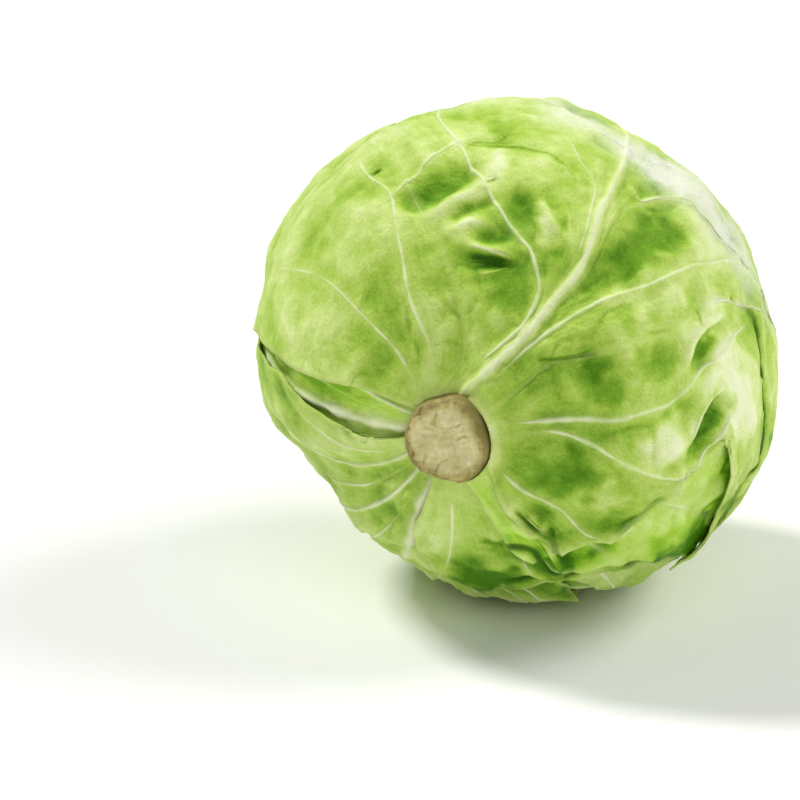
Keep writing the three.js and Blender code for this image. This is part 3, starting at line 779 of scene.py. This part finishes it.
    gloss = node("Math", add_share, i0=grain["speckle"], i1=0.2, i2=0.46)
    link(gloss, shader.inputs["Roughness"])
    shader.inputs["IOR"].default_value = 1.4
    shader.inputs["Specular IOR Level"].default_value = 0.12
    shader.inputs["Subsurface Weight"].default_value = 0.1
    shader.inputs["Subsurface Radius"].default_value = (0.002, 0.003, 0.0006)
    height = 0.0
    for pattern, share in ((grain["cloud"], 1.1), (grain["speckle"], 0.45), (crinkle, 1.6),
                           (grain["streak"], 0.3), (crease, 0.8), (vein, 0.25)):
        height = node("Math", add_share, i0=pattern, i1=share, i2=height)
    link(node("Bump", Strength=0.7, Distance=0.001, Height=height), shader.inputs["Normal"])
    return material


# The outer leaves' folds press into everything under them, so they come first here:
# places in front-chart degrees, half width and height (mm).
top_folds = [
    ([(-14, 86), (-4, 88)], 14, 1.6),
    ([(-40, 77), (-46, 90)], 8, -5.12),
    ([(16, 82)], 7, -3.84),
    ([(84, 4)], 8, 1.92),
    ([(76, -38)], 6, -1.6),
    ([(-60, 56)], 7, -1.92),
    ([(50, 6.5), (46, 4.5), (42.5, 1), (41, -3)], 3, -4.16),
    ([(49.5, 8.5), (44, 6), (40, 3.5), (37.5, -0.5)], 2.6, 2.08),
    ([(49.5, 2), (45.5, -1)], 3, 0.96),
    ([(41.5, 10), (42.5, 8), (42.5, 6.5)], 0.9, -0.81),
    ([(54, 13), (57, 15.5)], 1.3, -1.22),
    ([(44, 12), (52, 13.5), (59.5, 13), (67, 13), (73, 10.5), (74.5, 6.5)], 1.8, 1.6),
    ([(3, -2), (8.5, -1.5), (14, -0.5)], 0.9, -0.94),
    ([(27.5, 4), (32.5, 5)], 0.9, -0.68),
    ([(46.5, -12.5), (44, -16), (42, -19.5), (40, -23)], 2.8, -3.84),
    ([(47.5, -8.5), (42.5, -13), (40, -17), (38, -21.5)], 1.2, 0.94),
    ([(50, -14.5), (48, -18), (45, -21.5), (42, -24.5), (40, -27)], 1.6, 1.62),
    ([(45, -2.5), (50.5, 1.5), (57, 5.5), (63.5, 8.5)], 1, 1.08),
    ([(36, -30), (34, -34.5), (32, -38), (29, -40.5), (24.5, -42.5), (19.5, -45.5)], 1.7, 1.89),
    ([(30, -36), (27.5, -38.5), (23.5, -41)], 3.6, -3.84),
    ([(18.5, -42)], 2.4, -2.56),
    ([(9.5, -20.5), (11.5, -24.5), (13, -28), (14, -33)], 2.2, -2.08),
    ([(14.5, -35)], 3, -0.8),
    ([(37, -26)], 1.4, -1.35),
    ([(33.5, -26), (30, -25.5)], 3, -0.64),
    ([(23, -18), (24, -20.5)], 4, -0.96),
    ([(36.5, -12.5)], 4, -0.96),
    ([(2, -36), (5, -40), (8, -44)], 3.5, -1.92),
    ([(-28, 36.5), (-25, 40), (-20.5, 42.5), (-17.5, 45.5)], 5, -4.16),
    ([(-21.5, 34), (-18, 37.5), (-12, 41)], 2.6, 2.08),
    ([(-18, 33), (-14, 35.5), (-9.5, 37.5)], 2.4, -2.24),
    ([(-18.5, 28.5), (-15.5, 30.5), (-11, 31.5)], 2.4, 1.92),
    ([(-10, 28), (-6.5, 29.5)], 4.5, -2.56),
    ([(-33, 37.5), (-30.5, 41.5), (-28, 44), (-27, 47), (-24.5, 50.5), (-20, 55.5),
      (-18.5, 57)], 1, 0.94),
    ([(-41, 46), (-39, 47.5)], 1.6, -1.76),
    ([(-15, 49)], 2, -2.08),
    ([(-10.5, 42), (-8, 43.5)], 1.1, -1.08),
    ([(-7.5, 53), (-7, 48.5), (-8.5, 44.5), (-10.5, 42.5)], 3.5, 1.92),
    ([(-17.5, 54.5), (-14, 57), (-9.5, 57.5), (-7, 60), (-5, 62.5)], 0.8, -0.68),
    ([(-14, 55.5), (-4.5, 56), (4.5, 52.5), (9.5, 48), (9.5, 45.5)], 1.2, -0.68),
    ([(9, 49), (10, 45)], 0.9, 0.81),
    ([(-1.5, 37.5), (-2, 34)], 4.5, -2.24),
    ([(3.5, 35.5), (5, 32), (6.5, 29.5)], 2.2, 2.24),
    ([(6, 35.5), (8.5, 30)], 3, -1.28),
    ([(10, 32.5), (10, 28)], 0.8, 0.68),
    ([(0.5, 22), (3, 19)], 4, -1.44),
    ([(-1, 24)], 2.5, 1.44),
    ([(-2, 20)], 2.5, -1.28),
    ([(-12.5, 22), (-8.5, 21.5), (-5, 21)], 2.2, -5.12),
    ([(-13.5, 25), (-8.5, 23.5), (-4, 22)], 1.6, 1.62),
    ([(-11, 18), (-7.5, 19), (-4.5, 20)], 1.8, 1.28),
    ([(17.5, 19), (24.5, 26)], 9, -2.08),
    ([(32, 29.5), (38, 30.5)], 8, -1.92),
    ([(27.5, 43.5), (30, 40), (35.5, 42), (43.5, 43), (49.5, 36), (54.5, 31.5),
      (62.5, 27.5)], 1.6, 1.62),
    ([(31.5, 55), (39.5, 58), (49.5, 60), (62.5, 63)], 1.4, 0.81),
    ([(19, 65), (25, 62), (28.5, 60)], 1.5, 1.08),
    ([(19, 60.5), (23, 58)], 3, -1.44),
    ([(32, 44)], 2.2, -1.12),
    ([(37, 44.5)], 2, -0.96),
    ([(61, 37), (65.5, 33.5)], 1.6, -0.81),
]
right_folds = [
    ([(11.5, -50), (15, -50.5), (19, -49.5)], 4, -4.16),
    ([(27, -57), (28, -56)], 1.6, -3.24),
    ([(31.5, -57)], 1.6, -1.22),
    ([(14, -55.5), (19.5, -54.5), (25, -53.5), (32.5, -53.5)], 2, 1.92),
    ([(1.5, -37.5), (4.5, -41.5), (6.5, -46), (7.5, -51.5)], 2, 3.2),
    ([(3, -43), (4, -47), (4.5, -51)], 2.2, -3.52),
    ([(-1.5, -40.5), (1.5, -43)], 4, 1.92),
    ([(-2.5, -35.5), (-0.5, -38), (2, -40.5)], 0.9, -1.62),
    ([(5.5, -40.5), (6.5, -43)], 1.4, -1.35),
]
lower_folds = [
    ([(-6, -51), (-2, -50.5), (2.5, -52)], 4, -4.16),
    ([(-9, -57.5), (-3.5, -58.5), (2, -57), (9, -58)], 3, 1.92),
    ([(24, -78)], 7, 2.56),
    ([(-22, -78)], 8, -3.52),
]

# where one fold of the lower leaves closes over the next: places and power
lower_grooves = [
    ([(-2.5, -36), (-0.5, -37.5), (1, -39.5), (3.5, -41), (5.5, -42.5), (7, -46), (9, -50.5),
      (12.5, -56)], 0.55),
    ([(-7, -48), (-4.5, -47), (-1.5, -47), (2, -48.5), (3.5, -51.5), (5.5, -54.5),
      (8, -56.5), (11, -57.5)], 0.9),
    ([(-8, -65.5), (-2, -62.5), (5, -60), (10.5, -58.5), (13.5, -57.5), (17, -56),
      (23, -54.5)], 0.8),
    ([(9, -60), (11.5, -62.5), (13.5, -67.5), (14.5, -75), (16, -87)], 0.8),
    ([(24.5, -55.5), (26.5, -55.5), (28.5, -57), (28, -59.5)], 0.45),
]

# the folds press most of their depth into the heart too
pressed_share, deepest_press = 0.8, -3.5
grid_th, grid_ph = np.meshgrid(map_th, map_ph, indexing="ij")
cover = Cover(heart_height(grid_th, grid_ph))
dents = stroke_field(*on_chart(direction(grid_th, grid_ph), *front_chart), top_folds + right_folds)
cover.heights += pressed_share * np.maximum(np.minimum(dents, 0), deepest_press)
heart_skin = leaf_material("pale_inner_leaf",
                           ["#7FA637", "#ACCB5C", "#C9DF82", "#DFEDAA", "#F0F6D0"],
                           "#F5F6DC", "#E6ECB0", "#F0F2DE")


def make_heart():
    """The ball under the heart's last leaves. Its skin is plain: no vein, margin, groove
    or crease is near."""
    under_leaves, far_mm = 0.6, 30.0
    bm = bmesh.new()
    bmesh.ops.create_icosphere(bm, subdivisions=5, radius=1)
    places = np.array([v.co for v in bm.verts])
    radius = cover.at(places) - under_leaves
    for vertex, place, reach in zip(bm.verts, places, radius):
        vertex.co = (place * reach + head_middle) * MM
    piece = mesh_object("heart_ball", bm)
    for key in ("rib_mm", "edge_mm", "line_mm", "groove_side", "crease_side"):
        layer = piece.data.attributes.new(key, "FLOAT", "POINT")
        layer.data.foreach_set("value", np.full(len(places), far_mm, np.float32))
    for key in ("rib_half", "main", "groove", "crease", "tone", "bloom", "relief"):
        piece.data.attributes.new(key, "FLOAT", "POINT")
    piece.data.uv_layers.new(name="grain")
    piece.data.materials.append(heart_skin)
    return piece


heart = make_heart()
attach(heart, "root")
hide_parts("heart")

# veins of a leaf: half width and height (mm), where each starts and ends on its line
fan_cells = 12
midrib = (2.3, 1.7, 0.0, 1.0)
side_vein = (1.0, 0.9, 0.0, 0.98)
thin_vein = (0.6, 0.5, 0.2, 0.95)
fan_veins = {line: side_vein if line % 2 == 0 else thin_vein for line in range(1, fan_cells)}
fan_veins[fan_cells // 2] = midrib

heart_leaf_plans = [
    {"centre": (120, 30), "half_width": 62, "half_length": 58, "seed": 21},
    {"centre": (125, 150), "half_width": 58, "half_length": 55, "seed": 22},
    {"centre": (128, 265), "half_width": 50, "half_length": 52, "seed": 23},
]
heart_rows = 70
heart_foot = (-50, 50)
heart_margin_turn, heart_margin_places = 115, 11
# the last leaves are in deep shade low on the front, between the lower wrapper leaves
heart_shade = [([(6, -68), (34, -66)], 16, -6.0)]


def make_heart_leaf(number, plan):
    turns = np.radians(np.linspace(-heart_margin_turn, heart_margin_turn, heart_margin_places))
    margin = [(plan["half_width"] * math.sin(a), plan["half_length"] * math.cos(a)) for a in turns]
    plan.update(mesh_mm=3.4, veins=fan_veins, tones=heart_shade)
    lines = fan_lines(plan["centre"], heart_foot, margin, fan_cells, heart_rows)
    piece = leaf_blade("heart_leaf_%d" % number, plan, lines)
    piece.data.materials.append(heart_skin)
    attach(piece, "root")
    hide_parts("heart")


for number, plan in enumerate(heart_leaf_plans, 1):
    make_heart_leaf(number, plan)

# ---------------------------------------------------------------------------
# THE WRAPPER LEAVES UNDER THE TOP ONE
# Older leaves, crisp and waxy: each grows from the stalk by a broad foot and closes
# over the leaf before it. Their waved margins stand a little free where nothing holds.
# ---------------------------------------------------------------------------
outer_skin = leaf_material("outer_leaf_blade",
                           ["#4A7E0C", "#7BA62C", "#A9CA50", "#CBE082", "#E4F0B8"],
                           "#EEF4CC", "#CFE07E", "#E9EDD2")
second_skin = leaf_material("second_leaf_blade",
                            ["#4F8A0C", "#86BA28", "#B0DA48", "#CDE87C", "#E8F3BC"],
                            "#F3F7D4", "#DAE98C", "#EDF1D8")

# the right leaf is pale, with painted shade in deep green where the top leaf's slit shades it and
# in its hollows
right_tones = [
    ([(49.5, -22), (54, -28), (54, -36.5), (52.5, -42), (51, -46.5), (53, -54.5),
      (50.5, -59), (51.5, -72)], 2.4, -4.0),
    ([(34, -44), (44, -36)], 10, 0.9), ([(7, -48), (9, -56), (10, -64)], 4, -5.0),
    ([(26, -62), (36, -50)], 9, -1.4), ([(14, -58), (30, -62)], 8, -1.6),
    ([(11.5, -49.5), (19, -48.5)], 3.5, -3.2), ([(26, -55.5), (28, -56)], 1.8, -3.5),
]
# painted shade low on the front, under the leaves that overhang it and in their folds
lower_tones = [
    ([(-14, -62), (10, -64), (30, -61), (44, -51)], 13, -3.6),
    ([(-10, -50), (0, -50.5), (5, -54)], 4, -2.6), ([(-8, -58.5), (10, -58)], 2.2, -2.5),
    ([(50, -60), (36, -70), (10, -76), (-14, -74)], 12, -2.6),
    ([(22, -68), (44, -64)], 8, -2.0),
]
bottom_folds = [
    ([(-2, -85), (18, -84), (32, -78)], 9, 1.8), ([(-24, -78)], 8, -2.2),
]
few_veins = {line: thin_vein for line in (2, 5, 7, 9)}
wrapper_rows = 120
wrapper_plans = {
    "left_leaf": {
        "centre": (80, 180), "foot": (-70, 70), "rest_level": rest_step, "seed": 31,
        "margin": [(-37, -56), (-58, -34), (-67, -6), (-58, 36), (-31, 62), (0, 70), (33, 57),
                   (54, 30), (59, -6), (49, -34), (36, -56)],
        "lift": 1.5, "puff": 0.9, "crumple": 0.9, "skin": second_skin, "slot": "inner_blade"},
    "bottom_leaf": {
        "centre": (75, 250), "foot": (-65, 60), "rest_level": 0.0, "seed": 32,
        "margin": [(-31, -58), (-52, -45), (-70, -14), (-73, 19), (-55, 52), (-26, 72), (7, 70),
                   (34, 56), (44, 32), (38, 11), (37, -8), (39, -23), (36, -35), (26, -51)],
        "lift": 1.5, "puff": 0.9, "crumple": 0.9, "folds": bottom_folds, "tones": lower_tones,
        "skin": outer_skin, "slot": "outer_blade"},
    "back_leaf": {
        "centre": (85, -10), "foot": (-62, 62), "seed": 33,
        "margin": [(-30, -60), (-35, -42), (-43, -33), (-52, -16), (-55, 3), (-56, 25), (-44, 47),
                   (-17, 61), (6, 65), (33, 59), (55, 39), (60, 9), (48, -31), (30, -62)],
        "lift": 1.5, "puff": 0.9, "crumple": 0.8, "skin": outer_skin, "slot": "outer_blade"},
    "lower_right_leaf": {
        "centre": (45, -55), "foot": (-60, 62), "seed": 34,
        "margin": [(-24, -28), (-31, -18), (-33, -6), (-29, 4), (-20, 3), (-13, -3), (-6, 1),
                   (1, 4), (9, 17), (26, 11), (30, -9), (21, -29)],
        "lift": 2.2, "puff": 0.8, "crumple": 0.8, "waves": 1.6, "folds": lower_folds,
        "grooves": lower_grooves, "groove_step": 1.1, "tones": lower_tones,
        "veins": few_veins, "skin": outer_skin, "slot": "inner_blade"},
    "right_leaf": {
        "centre": (52, 0), "foot": (-66, 64), "seed": 35,
        "margin": [(-27, -36), (-31.5, -28), (-35, -18.5), (-34, -9), (-37, 4), (-44, 21),
                   (-29, 20), (-17, 23), (0, 24), (15, 14), (25, 0), (27, -20), (20, -37)],
        "lift": 2.2, "puff": 0.8, "crumple": 0.7, "waves": 1.4, "folds": right_folds,
        "grooves": lower_grooves, "groove_step": 1.1, "tones": right_tones + lower_tones,
        "veins": few_veins, "skin": second_skin, "slot": "inner_blade"},
}


def make_wrapper_leaf(name, plan):
    plan.update(nick=0.03, mesh_mm=1.9, echo=top_folds, rim_hold=0.6,
                veins=plan.get("veins", fan_veins))
    lines = fan_lines(plan["centre"], plan["foot"], plan["margin"], fan_cells, wrapper_rows)
    piece = leaf_blade(name + "_blade", plan, lines)
    piece.data.materials.append(plan["skin"])
    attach(piece, "root")
    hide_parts(name)


for name, plan in wrapper_plans.items():
    make_wrapper_leaf(name, plan)

# ---------------------------------------------------------------------------
# THE TOP LEAF
# The outermost leaf, which wraps more than half the head. Its thick midrib rises
# from the stalk, its side veins run out into thin lines, and the blade between them
# is folded, dented, torn in one place and split into a lobe at its right edge.
# ---------------------------------------------------------------------------
# lines of the blade from its foot to its margin, in degrees on its own chart
top_leaf_lines = [
    [(-24.5, -79.5), (-38.5, -78), (-50, -74.5)],
    [(-25.5, -73.5), (-35, -70.5), (-39.5, -69), (-47, -68), (-52, -66.5), (-58, -62)],
    [(-22, -66), (-35, -62), (-46.5, -58), (-53, -53), (-59, -49.5)],
    [(-20, -60.5), (-30.5, -55), (-36, -53), (-42, -50.5), (-50, -45.5), (-55.5, -40),
     (-57, -35), (-58.5, -31)],
    [(-18.3, -60.5), (-28, -54), (-35.5, -49), (-42.5, -42.5), (-49.5, -34.5), (-55, -27),
     (-59, -21.5)],
    [(-16, -61), (-25, -53), (-32, -47), (-37.5, -38.5), (-40, -33.5), (-40.5, -28.5),
     (-40.5, -22.5), (-41.5, -17), (-48, -13.5), (-60, -13.5), (-70, -15), (-80, -17.5), (-90, -20),
     (-97, -23.5), (-102, -29)],
    [(-8, -58), (-10, -50), (-14, -45), (-17.5, -40.5), (-24.5, -30.5), (-27.5, -24.5),
     (-31, -19.5), (-37, -10), (-47, -5.5), (-61.5, -5.5), (-74, -6.5), (-86, -9), (-96, -13),
     (-103, -21)],
    [(-6, -57), (-8, -46), (-13, -36), (-20, -25), (-26.5, -14), (-35, -3), (-50.5, 2.5),
     (-65.5, 2.5), (-78, 1.5), (-90, -1), (-100, -7)],
    [(-3, -51.5), (-6, -42.5), (-9, -35), (-11.5, -29.5), (-17, -20), (-20.5, -11), (-23, -4.5),
     (-26, 1.5), (-31, 13), (-39, 20), (-50, 25), (-66, 28), (-80, 26)],
    [(-1.5, -51), (-3.5, -37), (-4.5, -27), (-3, -18), (-2, -11), (-2.5, -5), (-4.5, -0.5),
     (-7, 4.5), (-10.5, 8.5), (-15, 11), (-19.5, 11.5), (-24.5, 12.5), (-30, 17.5), (-38, 28),
     (-48, 41)],
    [(-0.5, -51), (-2, -36.5), (-2.5, -27), (0, -17.5), (2, -11.5), (2.5, -6.5), (3.5, 0.5),
     (4.5, 7), (5.5, 12.5), (6.5, 17), (9, 27), (12, 48), (12, 78)],
    [(0.2, -50), (-0.5, -43), (-0.5, -36), (-0.2, -27), (1.8, -18), (4, -11.5), (5.5, -7),
     (8, -3.5), (12.5, 0), (16.5, 4.5), (22, 10), (27.5, 16.5), (32.5, 27.5), (38, 44), (42, 72)],
    [(1.5, -49), (1, -42.5), (2, -38), (3.5, -35.5), (6.5, -32.5), (10, -29.5), (13.5, -28),
     (18, -25.5), (22.5, -22.5), (26, -20), (31, -15.5), (35.5, -12), (39.5, -7), (45.5, -1),
     (50.5, 6), (56, 20), (66, 40), (79, 56)],
    [(10, -60), (17, -50), (25, -42), (34, -34), (43, -26), (52, -14), (60, -1), (76, 24),
     (92, 42)],
    [(18, -62), (29.5, -52), (39.5, -38.5), (46.5, -28), (50, -24.5), (56, -20.5), (61.5, -14.5),
     (63.5, -9), (68, -1), (82, 10), (102, 18)],
    [(23.5, -66), (40.5, -58), (56, -49.5), (75, -42), (100, -30)],
    [(20, -76), (33.5, -75.5), (50, -75), (68, -69), (86, -57), (100, -45)],
]
top_leaf_rows = 172
line_haste = {1: 1.1, 2: 1.35, 3: 1.75, 4: 2.3}
top_leaf_veins = {
    1: (0.8, 0.8, 0.12, 0.98), 3: (0.8, 0.8, 0.12, 0.98), 5: (1.1, 1.0, 0.08, 0.62),
    6: (0.45, 0.35, 0.3, 0.5), 8: (0.75, 0.75, 0.1, 0.85), 9: (0.45, 0.4, 0.5, 0.85),
    10: (1.75, 1.8, 0.0, 0.95), 11: (0.5, 0.5, 0.3, 0.85), 12: (0.8, 0.8, 0.1, 0.9),
    13: (0.4, 0.3, 0.35, 0.85), 14: (0.6, 0.6, 0.1, 0.8), 15: (0.5, 0.5, 0.1, 0.9),
}
# painted shade in hollows, painted light on bright ridges, and some green of its own: places, half
# width (mm), amount
top_tones = [
    ([(20, 6.5), (27.5, 11.5), (40.5, 5.5)], 8, 0.9),
    ([(25, -23), (33, -20)], 9, 2.0),
    ([(16, -32)], 7, 2.2),
    ([(4.5, 30.5), (6, 26.5)], 4, 1),
    ([(0, 0), (30, -2), (44, 10)], 26, 0.5),
    ([(68.5, -45), (62.5, -50.5), (57.5, -59.5), (55, -69.5)], 3.5, -3.5),
    ([(85, -24.5), (80.5, -33.5), (78, -37.5)], 2.5, -3),
    ([(-10, -68), (12, -72), (30, -66)], 14, -2.4),
    ([(27, -20), (32, -18)], 6, 0.9),
    ([(15.5, -24)], 4, 1.0),
    ([(20, 12), (30, 14)], 6, 0.8),
    ([(2, 8), (8, -8)], 34, -1.5),
    ([(2, -30), (12, -36)], 16, -0.4),
    ([(54, 0), (62, -10)], 16, 1.4),
    ([(-42, 64), (-66, 44)], 20, 0.9),
    ([(22, 25), (33, 29)], 12, -0.6),
    ([(24, 76), (-10, 70)], 12, 0.5),
    ([(29, 29.5), (36, 29), (32.5, 33)], 10, -0.8),
    ([(18.5, 19), (24, 21.5)], 8, -0.5),
    ([(-27, 38), (-21, 42.5)], 5, -1.2),
    ([(-14, 35.5)], 3, -1.3),
    ([(-7.5, 28.5)], 5, -1.5),
    ([(-1.5, 37)], 4.5, -1.2),
    ([(14.5, -4.5), (18.5, -10)], 6, -1.6),
    ([(29.5, -3.5)], 7, -1),
    ([(7.5, -11.5), (4, -6)], 8, -1.6),
    ([(0.5, -23.5), (4.5, -28.5)], 7, -1),
    ([(27.5, -38.5), (23.5, -41)], 4, -1.6),
    ([(64, -35), (58, -45), (52, -54), (46, -61)], 4, -3.0),
    ([(60, 14)], 6, 0.9),
    ([(18.5, -42)], 2.4, -1.3),
    ([(3, -38.5)], 4, -1.1),
    ([(11.5, -49.5), (19, -48.5)], 3.5, -2.5),
    ([(45.5, 4.5), (41.5, 0)], 2.6, -1.7),
    ([(45.5, -14), (40.5, -21)], 2.4, -2.0),
    ([(53, -12), (52, -17)], 3.5, 2.8),
    ([(36.5, -12.5)], 4, -0.6),
    ([(53, 19.5)], 5, -0.5),
    ([(-9.5, 69.5), (-11.5, 67)], 3, -0.6),
    ([(-34, 56)], 5, -0.4),
    ([(44, -6.5), (54.5, -8), (57, -19.5)], 8, 1.6),
    ([(27.5, 12), (22, 10.5)], 4, 0.9),
    ([(5, 31.5), (4.5, 27.5)], 3, 1.1),
    ([(-16.5, 38), (-13, 40)], 2.5, 1),
    ([(-17.5, 29.5), (-12.5, 31)], 2.5, 1),
    ([(-25, 63.5), (-20.5, 60.5)], 6, 1.2),
    ([(-60, 43.5), (-47, 60)], 14, 0.6),
    ([(-8, 48)], 4, 0.8),
    ([(32.5, -22)], 8, 0.5),
    ([(42, 13), (38, 5)], 5, 0.6),
    ([(-2.5, 81), (-18, 75)], 5, 0.5),
]
# a painted pale sheen on wax that was not rubbed off: the shoulder beyond the third vein, and the
# crown
top_wax_and_sheen = [
    ([(47, 54), (56, 46), (66, 38)], 15.0, 0.9), ([(34, 62), (46, 57)], 12.0, 0.8),
    ([(22, 76), (8, 84)], 12.0, 0.7), ([(74, 30), (84, 14)], 10.0, 0.75),
    ([(10, 72), (22, 66), (34, 56), (42, 48), (51, 42), (59, 32), (66, 22)], 9.0, 0.7),
    ([(52, -4), (53, -16)], 6.0, 0.3),
    ([(-8, 84), (-24, 80)], 9.0, 0.4),
]
# a deep closed fold that parts the strip at the right edge from the rest, the torn
# place, and a crack by the lowest vein: places and power
top_grooves = [
    ([(57, 13), (62, 12.5), (66.5, 11), (68.5, 7), (68.5, 1.5), (68.5, -6.5), (70, -14.5),
      (72, -23.5), (72.5, -32.5), (69, -37), (64, -42.5), (61.5, -54), (59.5, -65.5),
      (54, -70.5), (48, -74.5)], 1.0),
    ([(-14.5, 23), (-11, 22.5), (-7.5, 22), (-4, 21)], 0.9),
    ([(-13.5, 20), (-10, 20.5), (-7.5, 20.5), (-4.5, 21)], 0.8),
    ([(-2.5, -36), (-0.5, -37.5), (1, -39.5), (3.5, -41), (5.5, -42.5), (7, -46), (9, -50.5),
      (12.5, -56)], 0.55),
]
top_skin = leaf_material("top_leaf_blade",
                         ["#4A7D0A", "#76A328", "#A9C94E", "#CFE386", "#EAF2C2"],
                         "#E9F0C2", "#D3E286", "#EAECDA")
top_plan = {
    "centre": (78, 60), "foot": (-86, 88), "seed": 40, "nick": 0.02, "lift": 1.0, "puff": 1.0,
    "crumple": 0.9, "calm": 0.15, "mesh_mm": 1.55, "wide_until": 0.62, "free_mm": 9.0,
    "rim_hold": 0.75, "held_from": 0.8, "settle": 7.0, "mottle": 0.5, "veins": top_leaf_veins,
    "folds": top_folds + right_folds, "grooves": top_grooves, "groove_step": -0.5,
    "tones": top_tones, "bloom": top_wax_and_sheen}


def drawn_lines(centre, foot, lines, haste, rows):
    """Lines of a leaf that are given point by point, from its foot out. A short line
    beside a long one takes its rows in haste, so the two keep abreast."""
    t = row_spacing(rows)
    turns = np.linspace(foot[0], foot[1], len(lines))
    return np.array([spline([foot_place(centre, turn)] + list(line),
                            1 - (1 - t) ** haste.get(number, 1.0))
                     for number, (turn, line) in enumerate(zip(turns, lines))])


top_leaf = leaf_blade("top_leaf_blade", top_plan,
                      drawn_lines(top_plan["centre"], top_plan["foot"], top_leaf_lines,
                                  line_haste, top_leaf_rows))
top_leaf.data.materials.append(top_skin)
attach(top_leaf, "root")
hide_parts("top_leaf")

# ---------------------------------------------------------------------------
# THE STUDIO
# A plain white table under a soft light from the upper left, a wider one from the
# right and a weak one from the front, seen by a very long lens that looks down on it.
# ---------------------------------------------------------------------------
picture_px = 800
head_at_px = (527, 350)
head_radius_px = 255
head_radius = 99.0 * MM
lens_mm, sensor_mm = 400.0, 36.0
table_half = 6.0


def studio_floor():
    """A board painted matt white, which gives the eye a plain pale ground."""
    bm = bmesh.new()
    bmesh.ops.create_grid(bm, x_segments=1, y_segments=1, size=table_half)
    floor = mesh_object("floor", bm)
    material = bpy.data.materials.new("white_table")
    material.use_nodes = True
    shader = material.node_tree.nodes["Principled BSDF"]
    shader.inputs["Base Color"].default_value = linear("#F6F6F4")
    shader.inputs["Roughness"].default_value = 0.8
    floor.data.materials.append(material)


def soft_sun(name, azimuth, elevation, softness, strength):
    """A wide even light, so far off that the whole table is lit alike."""
    light = bpy.data.lights.new(name, "SUN")
    light.angle = math.radians(softness)
    light.energy = strength
    lamp = bpy.data.objects.new(name, light)
    turn, rise = math.radians(azimuth), math.radians(elevation)
    towards = Vector((math.cos(turn) * math.cos(rise), math.sin(turn) * math.cos(rise),
                      math.sin(rise)))
    lamp.rotation_euler = towards.to_track_quat("Z", "Y").to_euler()
    bpy.context.collection.objects.link(lamp)


studio_floor()
soft_sun("key_light", azimuth=152, elevation=50, softness=12, strength=2.3)
soft_sun("back_light", azimuth=14, elevation=40, softness=30, strength=1.6)
soft_sun("front_light", azimuth=-75, elevation=40, softness=40, strength=0.7)

world = bpy.data.worlds.new("studio_white")
world.use_nodes = True
background = world.node_tree.nodes["Background"]
background.inputs["Color"].default_value = linear("#FFFFFF")
background.inputs["Strength"].default_value = 0.25
bpy.context.scene.world = world

middle = Vector(head_middle) * MM
lens_px = lens_mm / sensor_mm * picture_px
distance = head_radius / math.sin(math.atan(head_radius_px / lens_px))
pixel = distance / lens_px
aim = (middle - Vector(front_across) * (head_at_px[0] - picture_px / 2) * pixel
       - Vector(front_up) * (picture_px / 2 - head_at_px[1]) * pixel)
camera_data = bpy.data.cameras.new("camera")
camera_data.lens = lens_mm
camera_data.sensor_width = sensor_mm
camera = bpy.data.objects.new("camera", camera_data)
camera.location = middle + Vector(front_axis) * distance
camera.rotation_euler = (aim - camera.location).to_track_quat("-Z", "Y").to_euler()
bpy.context.collection.objects.link(camera)
bpy.context.scene.camera = camera
bpy.context.scene.view_settings.view_transform = "Standard"
